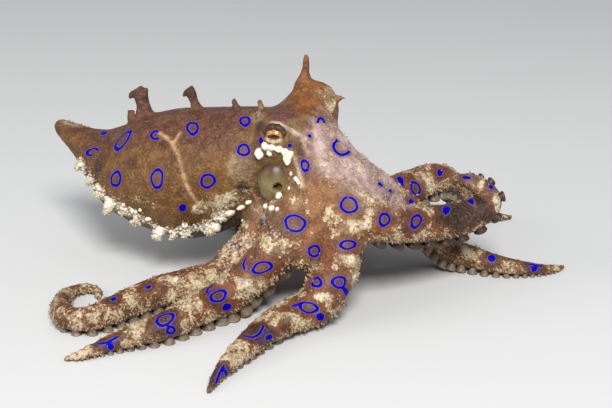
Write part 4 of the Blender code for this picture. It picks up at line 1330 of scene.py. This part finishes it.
def knob_form(place, axis, radius, length, flatness, stops):
    """A small papilla of uneven shape, blunt or like a flake."""
    across = unit(np.cross(axis, rng.normal(size=3)))
    around = np.cross(axis, across) * flatness
    points = []
    for along, wide in stops:
        for angle in np.linspace(0, 2 * math.pi, KNOB_SIDES, endpoint=False):
            reach = radius * wide * (0.75 + 0.5 * rng.random())
            points.append(place + axis * length * along
                          + reach * (math.cos(angle) * across + math.sin(angle) * around))
    points.append(place + axis * length + 0.3 * radius * rng.normal(size=3))
    faces = [tuple(reversed(range(KNOB_SIDES)))]
    for side in range(KNOB_SIDES):
        after = (side + 1) % KNOB_SIDES
        faces.append((side, after, KNOB_SIDES + after, KNOB_SIDES + side))
        faces.append((KNOB_SIDES + side, KNOB_SIDES + after, 2 * KNOB_SIDES))
    return points, faces


def knob_chance(surface, pale):
    """How likely each point of the skin is to bear a papilla, and its share of fringe."""
    layout, marks = surface.layout, surface.marks
    clear = smoothstep(0.5, 1.0, np.abs(marks.line)) * (1 - 0.85 * marks.patch)
    fringe = surface.arm * np.exp(-((layout.top + 0.1) / 0.3) ** 2) * (layout.share < 0.97)
    chance = 0.22 * pale * clear * (1 - surface.oral) * (1 + surface.mantle)
    chance += 0.3 * fringe * clear
    chance += 0.4 * surface.edge + 0.12 * surface.spray + 0.1 * surface.slope
    return chance * (1 - 0.85 * surface.bare), fringe


def flap_forms(surface, moved, colours):
    """The larger, ragged flaps that stand out from the arms' edges and the head's ridge."""
    _, fringe = knob_chance(surface, np.zeros(len(moved)))
    chance = 0.8 * fringe + 0.05 * surface.slope + 0.12 * surface.arm
    chance = chance * (1 - surface.oral) * (1 - 0.9 * surface.marks.patch) * (1 - surface.bare)
    for index in spaced_points(moved, chance, FLAP_GAP, FLAP_COUNT):
        slim = 1.0 - 0.6 * surface.layout.share[index] * surface.arm[index]
        size = (0.2 + 0.16 * rng.random()) * slim
        length = size * (1.1 + 1.3 * rng.random())
        axis = unit(surface.normals[index] + 0.45 * rng.normal(size=3) + (0, 0, -0.2))
        flatness = 0.35 + 0.4 * rng.random()
        points, faces = knob_form(moved[index], axis, size, length, flatness, FLAP_STOPS)
        if clear_of_floor(points):
            whiter = (0.1 + 0.6 * rng.random()) * (1 - 0.8 * surface.slope[index])
            yield points, faces, colours[index] + (CREAM - colours[index]) * whiter


def papilla_forms(surface, moved, pale, colours):
    """The loose-set small papillae of the skin: fringes, grains and crusts."""
    chance, fringe = knob_chance(surface, pale)
    for index in spaced_points(moved, chance, KNOB_GAP, KNOB_COUNT):
        white = max(surface.edge[index], surface.spray[index])
        axis = unit(surface.normals[index] + 0.5 * rng.normal(size=3))
        size = 0.09 + 0.13 * rng.random() ** 2
        size *= 1.0 + 0.5 * fringe[index] + 1.2 * white
        size *= 1.0 - 0.5 * surface.arm[index] * max(0.0, surface.layout.share[index] - 0.4)
        length = size * (1.0 + 1.2 * rng.random() + 1.3 * fringe[index])
        flatness = 1.0 - 0.55 * rng.random()
        points, faces = knob_form(moved[index], axis, size, length, flatness, KNOB_STOPS)
        if clear_of_floor(points):
            whiter = min(1.0, 0.15 + 0.5 * pale[index] + 0.3 * rng.random())
            whiter = max(whiter, 0.9 * white)
            crust = CREAM + (WHITE - CREAM) * white
            yield points, faces, colours[index] + (crust - colours[index]) * whiter


def clear_of_floor(points):
    return min(point[2] for point in points) >= FLOOR_GAP


def toned_piece(name, forms):
    """One mesh of many forms, each given as its points, its faces and its tone."""
    parts = Parts()
    tones = []
    for points, faces, tone in forms:
        parts.add(points, faces)
        tones += [tone] * len(points)
    piece = parts.object(name)
    face_outward(piece)
    shade_smooth(piece)
    store(piece, "tone", np.array(tones))
    return piece


# The plump white lobes that the photograph shows, in its pixels: where each is, how wide and
# high it is, and the turn of its longer axis in degrees
Lobe = namedtuple("Lobe", "x y width height turn", defaults=(0,))
LOBES = tuple(Lobe(*row) for row in (
    # under the eye
    (260.4, 153.3, 10, 13), (269.5, 153, 6.5, 7), (287.3, 158, 9, 15),
    (265.5, 146, 8, 9), (272, 147.5, 9, 7), (279, 149, 9, 7),
    (285, 151.5, 8, 8), (291, 153.5, 6, 7),
    # round the funnel's mouth and under it
    (279.5, 196, 7, 8, -40), (276, 193.5, 5, 4), (283.5, 183, 3.5, 4),
    (275, 183.5, 4, 3), (289.5, 188.5, 3.5, 5), (291, 173.5, 4, 5),
    (296, 178.5, 6, 6), (299, 183, 5, 5), (266.5, 206.5, 7, 6),
    (272.5, 208.5, 8, 7), (277.5, 209.5, 5, 6),
    # along the mantle's lower edge
    (82.3, 164.5, 9, 5.5, 20), (99.5, 187, 8, 5, -20), (109.5, 204.5, 9, 15, -28),
    (124, 204.5, 5, 5), (132.5, 210, 5, 7, 30), (136.5, 211, 4.5, 7),
    (140.5, 209.5, 4, 6, -30), (149, 218.5, 7, 5), (161, 229.5, 11, 15, -25),
    (185, 224, 7, 9), (191, 235, 5, 4.5), (215.5, 225.5, 11, 14, -10),
    (230, 212, 12, 7, 20), (241, 207, 10, 6, 25), (249, 202, 8, 5, 20),
    (243, 221, 4, 5),
))

# How far a lobe stands out, as a share of its half depth, the depth of its uneven relief and
# that relief's random field, and where along the body the hidden side has no lobes ahead of
LOBE_RISE = 0.25
LOBE_RELIEF = 0.13
LOBE_FIELD = (0.8, 3, 2.2)
HEAD_START = -7.5


def make_lobes(photo):
    """The white lobes that the photograph shows, and their like on the hidden side."""
    parts = Parts()
    for lobe in LOBES:
        centre, out = photo.seen(lobe.x, lobe.y)
        if centre is None:
            ridge = min((plan for plan in ridge_plans() if plan.tip[1] < 0),
                        key=lambda plan: math.hypot(*(np.array(photo.pixels(
                            np.array(plan.tip)[None, :])[:2])[:, 0] - (lobe.x, lobe.y))))
            centre, out = np.array(ridge.tip), unit(np.array(ridge.tip) - ridge.base)
        scale = photo.pixels(centre[None, :])[2][0] / FOCAL_PIXELS
        turn = math.radians(lobe.turn)
        first = photo.right * math.cos(turn) + photo.up * math.sin(turn)
        second = photo.up * math.cos(turn) - photo.right * math.sin(turn)
        half = 0.5 * scale * np.array((lobe.width, lobe.height, 0.8 * lobe.width))
        points, faces = sphere_form(np.zeros(3), half, *LOBE_SIDES)
        turned = np.column_stack([first, second, -photo.ahead])
        placed = np.array(points) @ turned.T + centre + LOBE_RISE * half[2] * out
        parts.add(placed, faces)
        if centre[0] < HEAD_START:
            parts.add(placed * (1, -1, 1), faces)
    lobes = parts.object("white_lobes")
    remeshed(lobes, LOBE_VOXEL)
    smoothed(lobes, 2)
    places = points_of(lobes)
    relief = LOBE_RELIEF * field(places, *LOBE_FIELD)
    places += normals_of(lobes) * relief[:, None]
    places[:, 2] = np.maximum(places[:, 2], FLOOR_GAP)
    set_points(lobes, places)
    shade_smooth(lobes)
    return lobes


# Suckers

def sucker_form(line, along, row, height):
    """One sucker: a short stem, a rounded rim and a hollow cup. Row is -1 or 1."""
    place, tangent, oral, radius = line.at(along)
    side = np.cross(oral, tangent)
    reach = radius * (ARM_UNDERSIDE + height)
    spread = row * radius * ARM_UNDERSIDE * math.sin(math.radians(SUCKER_SPREAD))
    rim = radius * SUCKER_SHARE
    profile = ((0.45 * radius, 0.62), (0.62 * reach, 0.66), (reach - 0.3 * rim, 0.9),
               (reach - 0.08 * rim, 1.0), (reach, 0.9), (reach - 0.06 * rim, 0.76),
               (reach - 0.35 * rim, 0.5), (reach - 0.42 * rim, 0.34), (reach - 0.75 * rim, 0.24))
    middle = side * spread
    return loft_form([circle(place + oral * depth + middle, rim * share, tangent, side,
                             SLIM_SIDES) for depth, share in profile])


# Where the suckers start and end, how far the two rows are shifted and how far apart they are,
# in widths of a sucker, with a gap between them, and their height over the floor
FIRST_SUCKER = 0.6
LAST_SUCKER = 0.8
SUCKER_STAGGER = 0.4
SUCKER_PITCH = 2.15
SUCKER_GAP = 0.1
SUCKER_FLOOR = 0.02

# The suckers' tones on the raised arm, which is dark below, darkened with painted shade, and on
# the others, and how far they stand out there
SHADED_RAISED_SUCKERS = flesh(84, 60, 46)
RAISED_HEIGHT = 0.1
SUCKERS = flesh(168, 154, 138)


def sucker_forms(lines):
    """Two rows of suckers under every arm, growing smaller towards its tip."""
    for name, line in lines.items():
        raised = name == "arm_r1"
        # the raised arm's suckers take painted shade
        tone = SHADED_RAISED_SUCKERS if raised else SUCKERS
        height = RAISED_HEIGHT if raised else SUCKER_HEIGHT
        along = FIRST_SUCKER
        while along < line.length - LAST_SUCKER:
            size = SUCKER_SHARE * arm_radius(along / line.length, line.fullness)
            for row in (-1, 1):
                yield *sucker_form(line, along + SUCKER_STAGGER * row * size, row, height), tone
            along += SUCKER_PITCH * size + SUCKER_GAP


def make_suckers(lines):
    suckers = toned_piece("suckers", sucker_forms(lines))
    places = points_of(suckers)
    places[:, 2] = np.maximum(places[:, 2], SUCKER_FLOOR)
    set_points(suckers, places)
    return suckers


# The funnel

# The funnel's stops: share of its length, half width and half height
FUNNEL_STOPS = ((0.0, 2.4, 2.9), (0.2, 2.75, 3.4), (0.35, 3.0, 3.8), (0.55, 3.05, 3.85),
                (0.7, 2.9, 3.65), (0.82, 2.5, 3.1), (0.9, 2.05, 2.5), (0.96, 1.55, 1.8),
                (1.0, 1.25, 1.35), (1.02, 1.0, 1.05), (0.99, 0.8, 0.85), (0.9, 0.72, 0.75),
                (0.7, 0.7, 0.7))


def make_funnel():
    """The stout, smooth funnel with a rolled rim round its open end."""
    root, end = np.array(FUNNEL_ROOT), np.array(FUNNEL_END)
    axis = unit(end - root)
    up = unit(np.array([0.0, 0.0, 1.0]) - axis * axis[2])
    side = np.cross(axis, up)
    rings = []
    for share, wide, high in FUNNEL_STOPS:
        rings.append(circle(root + (end - root) * share, 1.0, wide * side, high * up,
                            FUNNEL_SIDES))
    funnel = new_object("funnel_skin", *loft_form(rings))
    face_outward(funnel)
    places = points_of(funnel)
    store(funnel, "high", (places[:, 2] - root[2]) / FUNNEL_STOPS[2][2])
    shade_smooth(funnel)
    return funnel


# Materials

class Nodes:
    """A short way to write a material's nodes."""

    def __init__(self, name):
        self.material = bpy.data.materials.new(name)
        self.material.use_nodes = True
        self.tree = self.material.node_tree
        self.shader = self.tree.nodes["Principled BSDF"]

    def add(self, kind, **values):
        node = self.tree.nodes.new(kind)
        for key, value in values.items():
            setattr(node, key, value)
        return node

    def feed(self, socket, value):
        if hasattr(value, "is_output"):
            self.tree.links.new(value, socket)
        else:
            socket.default_value = value

    def read(self, name, output="Fac"):
        """A value, or with the output Color a colour, that is stored on the points."""
        return self.add("ShaderNodeAttribute", attribute_name=name).outputs[output]

    def math(self, operation, first, second=0.0, third=None):
        node = self.add("ShaderNodeMath", operation=operation)
        self.feed(node.inputs[0], first)
        self.feed(node.inputs[1], second)
        if third is not None:
            self.feed(node.inputs[2], third)
        return node.outputs[0]

    def step(self, value, low, high, first=0.0, last=1.0):
        node = self.add("ShaderNodeMapRange", interpolation_type="SMOOTHSTEP", clamp=True)
        self.feed(node.inputs["Value"], value)
        self.feed(node.inputs["From Min"], low)
        self.feed(node.inputs["From Max"], high)
        self.feed(node.inputs["To Min"], first)
        self.feed(node.inputs["To Max"], last)
        return node.outputs["Result"]

    def blend(self, share, first, second, kind="MIX"):
        node = self.add("ShaderNodeMix", data_type="RGBA", blend_type=kind)
        self.feed(node.inputs["Factor"], share)
        self.feed(node.inputs["A"], first)
        self.feed(node.inputs["B"], second)
        return node.outputs["Result"]

    def lumps(self, size, detail=3.0, rough=0.6):
        """Soft noise whose lumps are the given size in millimetres."""
        node = self.texture("ShaderNodeTexNoise", size)
        node.inputs["Detail"].default_value = detail
        node.inputs["Roughness"].default_value = rough
        return node.outputs["Fac"]

    def cells(self, size):
        """The distance from the middles of cells of the given size in millimetres."""
        return self.texture("ShaderNodeTexVoronoi", size).outputs["Distance"]

    def texture(self, kind, size):
        node = self.add(kind)
        self.feed(node.inputs["Vector"], self.add("ShaderNodeTexCoord").outputs["Object"])
        node.inputs["Scale"].default_value = 1.0 / (size * MM)
        return node


def opaque(colour):
    """A colour in the four numbers that a socket takes."""
    return (*[float(value) for value in colour], 1.0)


def add_flesh(nodes, bump_from, strength, distance):
    """Soft, moist flesh under a colour, with a fine relief."""
    nodes.shader.inputs["Subsurface Weight"].default_value = 0.06
    nodes.shader.inputs["Subsurface Radius"].default_value = (1.0, 0.45, 0.25)
    nodes.shader.inputs["Subsurface Scale"].default_value = 0.6 * MM
    bump = nodes.add("ShaderNodeBump")
    nodes.feed(bump.inputs["Height"], bump_from)
    bump.inputs["Strength"].default_value = strength
    bump.inputs["Distance"].default_value = distance * MM
    nodes.feed(nodes.shader.inputs["Normal"], bump.outputs["Normal"])


def crust_colour(nodes, colour, pale, fine, broad, grains):
    """The pale crust over the skin's own colour."""
    crust = nodes.math("ADD", pale, nodes.math("MULTIPLY_ADD", fine, 1.3, -0.65))
    crust = nodes.math("ADD", crust, nodes.math("MULTIPLY_ADD", grains, -0.5, 0.2))
    crust = nodes.step(crust, 0.3, 0.62)
    cream = nodes.blend(nodes.step(broad, 0.38, 0.62), opaque(CRUST_SHADE), opaque(CREAM))
    # painted highlight: near-white on the high spots of the fine relief
    cream = nodes.blend(nodes.step(fine, 0.5, 0.66, 0.0, 0.7), cream, opaque(CRUST_HIGHLIGHT))
    cream = nodes.blend(nodes.step(fine, 0.3, 0.42, 0.6, 0.0), cream, opaque(CRUST_PIT))
    cream = nodes.blend(nodes.step(pale, 0.9, 1.0, 0.0, 0.45), cream, opaque(BONE))
    return nodes.blend(crust, colour, cream)


def ring_colour(nodes, colour, line, fine):
    """The dark halo, the thin light edge and the blue line of the rings, and the line's share."""
    whole = nodes.read("whole")
    away = nodes.math("ABSOLUTE", line)
    ragged = nodes.math("MULTIPLY_ADD", fine, 0.14, -0.07)
    edge = nodes.math("ADD", away, ragged)
    halo = nodes.math("MULTIPLY", nodes.step(away, 0.35, 0.9, 0.5, 0.0), whole)
    colour = nodes.blend(halo, colour, opaque(RING_HALO))
    rim = nodes.step(edge, RING_LINE + 0.02, RING_LINE + 0.2, 0.55, 0.0)
    colour = nodes.blend(nodes.math("MULTIPLY", rim, whole), colour, opaque(RING_EDGE))
    ink = nodes.step(edge, RING_LINE - 0.04, RING_LINE + 0.05, 1.0, 0.0)
    ink = nodes.math("MULTIPLY", ink, nodes.step(whole, 0.35, 0.65))
    blue = nodes.blend(nodes.step(away, 0.0, RING_LINE), opaque(RING_BLUE),
                       opaque(RING_BLUE_EDGE))
    return nodes.blend(ink, colour, blue), ink


def skin_material():
    nodes = Nodes("octopus_skin")
    tone = nodes.read("tone", "Color")
    fine = nodes.lumps(0.45, 4.0, 0.65)
    broad = nodes.lumps(1.9, 4.0, 0.62)
    grains = nodes.cells(0.5)
    darker = nodes.blend(1.0, tone, opaque((0.52, 0.46, 0.42)), "MULTIPLY")
    lighter = nodes.blend(0.3, tone, opaque(CREAM))
    colour = nodes.blend(nodes.step(broad, 0.38, 0.68), darker, tone)
    colour = nodes.blend(nodes.step(fine, 0.5, 0.72, 0.0, 0.6), colour, lighter)
    colour = crust_colour(nodes, colour, nodes.read("pale"), fine, broad, grains)
    colour, ink = ring_colour(nodes, colour, nodes.read("line"), fine)
    nodes.feed(nodes.shader.inputs["Base Color"], colour)
    shine = nodes.math("MULTIPLY_ADD", ink, -0.27, 0.3)
    nodes.feed(nodes.shader.inputs["Specular IOR Level"], shine)
    nodes.feed(nodes.shader.inputs["Roughness"], nodes.step(fine, 0.3, 0.7, 0.42, 0.6))
    smooth = nodes.step(nodes.read("patch"), 0.2, 0.9, 1.0, 0.35)
    height = nodes.math("MULTIPLY_ADD", grains, -0.7, nodes.math("MULTIPLY", fine, 0.8))
    add_flesh(nodes, nodes.math("MULTIPLY", height, smooth), 0.7, 0.3)
    return nodes.material


def toned_material(name, size, deep, reach, roughness, shine, relief):
    """Flesh in the tones that are stored on the points, deeper between small lumps."""
    nodes = Nodes(name)
    tone = nodes.read("tone", "Color")
    fine = nodes.lumps(size, 3.0, 0.6)
    darker = nodes.blend(1.0, tone, opaque(deep), "MULTIPLY")
    colour = nodes.blend(nodes.step(fine, 0.35, reach), darker, tone)
    nodes.feed(nodes.shader.inputs["Base Color"], colour)
    nodes.shader.inputs["Roughness"].default_value = roughness
    nodes.shader.inputs["Specular IOR Level"].default_value = shine
    add_flesh(nodes, fine, *relief)
    return nodes.material


def papilla_material():
    return toned_material("papilla_skin", 0.3, (0.7, 0.62, 0.56), 0.65, 0.5, 0.3, (0.3, 0.1))


def sucker_material():
    return toned_material("sucker_skin", 0.4, (0.6, 0.52, 0.46), 0.7, 0.45, 0.5, (0.25, 0.08))


def lobe_material():
    nodes = Nodes("white_lobe_skin")
    fine = nodes.lumps(0.5, 4.0, 0.6)
    colour = nodes.blend(nodes.step(fine, 0.36, 0.6), opaque(LOBE_SHADE),
                         opaque(WHITE))
    nodes.feed(nodes.shader.inputs["Base Color"], colour)
    nodes.shader.inputs["Roughness"].default_value = 0.5
    add_flesh(nodes, fine, 0.4, 0.15)
    return nodes.material


def funnel_material():
    nodes = Nodes("funnel_skin")
    broad = nodes.lumps(2.2, 3.0)
    fine = nodes.lumps(0.35, 4.0)
    high = nodes.math("MULTIPLY_ADD", broad, 0.9, nodes.read("high"))
    olive = nodes.blend(nodes.step(broad, 0.35, 0.65), opaque(FUNNEL_SHADE),
                        opaque(FUNNEL_LIGHT))
    # painted shade: the funnel darkens towards its top
    colour = nodes.blend(nodes.step(high, 0.35, 1.05), olive, opaque(FUNNEL_TOP_SHADE))
    colour = nodes.blend(nodes.step(fine, 0.5, 0.75, 0.0, 0.5), colour,
                         opaque(FUNNEL_SPECK))
    nodes.feed(nodes.shader.inputs["Base Color"], colour)
    nodes.shader.inputs["Roughness"].default_value = 0.4
    add_flesh(nodes, fine, 0.25, 0.1)
    return nodes.material


# Eyes

# The pupil's bar on the eyeball: how far above the middle of its look, and its half sizes
PUPIL_HEIGHT = -0.42
PUPIL_HALF = (1.05, 0.36)

# The lids: half sizes of the opening, radius of the roll, how far ahead of the ball's middle
# they lie, how far their corners fall back, and how uneven they are
LID_HALF = (1.45, 1.12)
LID_ROLL = 0.38
LID_DEPTH = 1.25
LID_CORNER_DEPTH = 0.35
LID_SECTIONS = 48
LID_SIDES = 12
LID_RELIEF = 0.05
LID_FIELD = (0.5, 2, 7.0)


def eye_frame(plan):
    """The directions across, above and along the look of an eye."""
    look = unit(np.array(plan.look))
    across = unit(np.cross((0.0, 0.0, 1.0), look))
    return across, np.cross(look, across), look


def make_eye(plan):
    """One eyeball, with a golden iris and a dark bar for its pupil."""
    points, faces = sphere_form(np.zeros(3), (EYE_RADIUS,) * 3, *EYE_SIDES)
    turn = np.column_stack(eye_frame(plan))
    local = np.array(points)
    eye = new_object(plan.name + "_ball", local @ turn.T + plan.place, faces)
    store(eye, "across", local[:, 0])
    store(eye, "high", local[:, 1])
    shade_smooth(eye)
    return eye


def lid_form(plan):
    """A rolled fold of skin round one eye, thick above and pale below, with its tones."""
    across, above, look = eye_frame(plan)
    centre = np.array(plan.place) + LID_DEPTH * look
    points, tones, faces = [], [], []
    for row in range(LID_SECTIONS):
        angle = 2 * math.pi * row / LID_SECTIONS
        out = math.cos(angle) * across + math.sin(angle) * above
        middle = (centre + LID_HALF[0] * math.cos(angle) * across
                  + LID_HALF[1] * math.sin(angle) * above)
        middle = middle - LID_CORNER_DEPTH * abs(math.cos(angle)) ** 3 * look
        roll = LID_ROLL * (1.25 + 0.35 * math.sin(angle)
                           + 0.12 * math.sin(7 * angle) + 0.08 * math.sin(11 * angle))
        low = smoothstep(-0.3, -0.8, math.sin(angle))
        tones += [mix(np.array([BLOTCH]), CREAM, np.array([low]))[0]] * LID_SIDES
        for side in range(LID_SIDES):
            turn = 2 * math.pi * side / LID_SIDES
            points.append(middle + roll * (math.cos(turn) * out * 1.3 + math.sin(turn) * look))
            after = (side + 1) % LID_SIDES
            here, below = row * LID_SIDES, (row + 1) % LID_SECTIONS * LID_SIDES
            faces.append((here + side, here + after, below + after, below + side))
    return points, faces, tones


def make_lids():
    """The lids of both eyes as one piece."""
    parts = Parts()
    tones = []
    for plan in EYES:
        points, faces, form_tones = lid_form(plan)
        parts.add(points, faces)
        tones += form_tones
    lids = parts.object("eyelids")
    face_outward(lids)
    places = points_of(lids)
    relief = LID_RELIEF * field(places, *LID_FIELD)
    set_points(lids, places + normals_of(lids) * relief[:, None])
    shade_smooth(lids)
    store(lids, "tone", np.array(tones))
    return lids


def eye_material():
    nodes = Nodes("eye")
    across = nodes.read("across")
    high = nodes.read("high")
    high = nodes.math("SUBTRACT", high, PUPIL_HEIGHT)
    bar = nodes.math("ADD", nodes.math("POWER", nodes.math("ABSOLUTE", nodes.math(
        "DIVIDE", across, PUPIL_HALF[0])), 2.5), nodes.math("POWER", nodes.math(
            "ABSOLUTE", nodes.math("DIVIDE", high, PUPIL_HALF[1])), 2.0))
    fine = nodes.lumps(0.22, 4.0)
    iris = nodes.blend(nodes.step(fine, 0.35, 0.65), opaque(linear(124, 78, 22)),
                       opaque(linear(190, 132, 42)))
    colour = nodes.blend(nodes.step(bar, 0.8, 1.15, 1.0, 0.0), iris, opaque(linear(30, 14, 34)))
    nodes.feed(nodes.shader.inputs["Base Color"], colour)
    nodes.shader.inputs["Roughness"].default_value = 0.2
    nodes.shader.inputs["Coat Weight"].default_value = 0.3
    return nodes.material


# Camera and light

# The lights, with their places and widths in metres and their power, and where they point
Light = namedtuple("Light", "name place width power")
LIGHTS = (
    Light("key", (0.24, -0.34, 0.44), 0.2, 4.6),
    Light("fill", (-0.35, -0.4, 0.25), 0.35, 1.2),
)
LIGHT_TARGET = (0.0, 0.0, 0.015)
SKY_TONE = (0.9, 0.93, 1.0, 1.0)
SKY_STRENGTH = 0.4
FLOOR_TONE = linear(200, 200, 198)
FLOOR_HALF = 3.0


def add_camera():
    tilt, turn = math.radians(ELEVATION), math.radians(AZIMUTH)
    data = bpy.data.cameras.new("camera")
    camera = bpy.data.objects.new("camera", data)
    bpy.context.scene.collection.objects.link(camera)
    data.sensor_width = SENSOR_WIDTH
    data.lens = SENSOR_WIDTH * FOCAL_PIXELS / PICTURE[0]
    data.clip_start = 0.01
    data.clip_end = 10.0
    data.dof.use_dof = False
    camera.location = (EYE_POINT + FRAME_SHIFT) * MM
    camera.rotation_euler = (math.pi / 2 - tilt, 0.0, turn)
    bpy.context.scene.camera = camera


def add_light(plan):
    data = bpy.data.lights.new(plan.name, "AREA")
    data.size = plan.width
    data.energy = plan.power
    light = bpy.data.objects.new(plan.name, data)
    bpy.context.scene.collection.objects.link(light)
    light.location = plan.place
    aim = Vector(LIGHT_TARGET) - Vector(plan.place)
    light.rotation_euler = aim.to_track_quat("-Z", "Y").to_euler()


def add_floor():
    mesh = bpy.data.meshes.new("floor")
    signs = ((-1, -1), (1, -1), (1, 1), (-1, 1))
    corners = [(x * FLOOR_HALF, y * FLOOR_HALF, 0) for x, y in signs]
    mesh.from_pydata(corners, [], [(0, 1, 2, 3)])
    floor = bpy.data.objects.new("floor", mesh)
    bpy.context.scene.collection.objects.link(floor)
    nodes = Nodes("floor")
    nodes.shader.inputs["Base Color"].default_value = opaque(FLOOR_TONE)
    nodes.shader.inputs["Roughness"].default_value = 0.9
    mesh.materials.append(nodes.material)


def add_studio():
    """Soft light over a plain, pale floor."""
    bpy.context.scene.view_settings.view_transform = "Standard"
    for plan in LIGHTS:
        add_light(plan)
    world = bpy.data.worlds.new("studio")
    bpy.context.scene.world = world
    world.use_nodes = True
    world.node_tree.nodes["Background"].inputs["Color"].default_value = SKY_TONE
    world.node_tree.nodes["Background"].inputs["Strength"].default_value = SKY_STRENGTH
    add_floor()


# The whole

def flesh_nodes():
    """The part's nodes that the skin stands for: all but the eyes and the funnel."""
    return [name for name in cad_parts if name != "funnel" and "eye" not in name]


def fit(piece, material, slot, *stands_for):
    """Give a piece its material, and set it in the place of the part's nodes. The slot is not
    used.
    """
    piece.data.materials.append(material)
    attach(piece, "root")
    if stands_for:
        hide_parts(*stands_for)


def dress_skin(skin, surface, colours, pale, lift):
    """Raise the skin's relief, store what its material reads, and return its new points."""
    marks = surface.marks
    moved = surface.places + surface.normals * lift[:, None]
    moved[:, 2] = np.maximum(moved[:, 2], FLOOR_GAP)
    set_points(skin, moved)
    shade_smooth(skin)
    for name, values in (("tone", colours), ("pale", pale), ("line", marks.line),
                         ("whole", marks.whole), ("patch", marks.patch)):
        store(skin, name, values)
    return moved


def main():
    lines = {name: ArmLine(plan) for name, plan in ARMS.items()}
    skin = make_skin(lines)
    photo = Photo(skin)
    surface = Surface(photo, lines, place_marks(photo, lines))
    colours, pale, lift = paint(surface)
    lift = np.maximum(lift, raise_granules(surface, pale))
    moved = dress_skin(skin, surface, colours, pale, lift)
    fit(skin, skin_material(), "skin", *flesh_nodes())

    papilla_skin = papilla_material()
    fit(toned_piece("papillae", papilla_forms(surface, moved, pale, colours)), papilla_skin,
        "skin")
    fit(toned_piece("skin_flaps", flap_forms(surface, moved, colours)), papilla_skin, "skin")
    fit(make_lids(), papilla_skin, "skin")
    fit(make_lobes(photo), lobe_material(), "skin")
    fit(make_suckers(lines), sucker_material(), "skin")
    fit(make_funnel(), funnel_material(), "olive_skin", "funnel")
    for plan in EYES:
        fit(make_eye(plan), eye_material(), "eye", plan.name)
    add_camera()
    add_studio()


main()
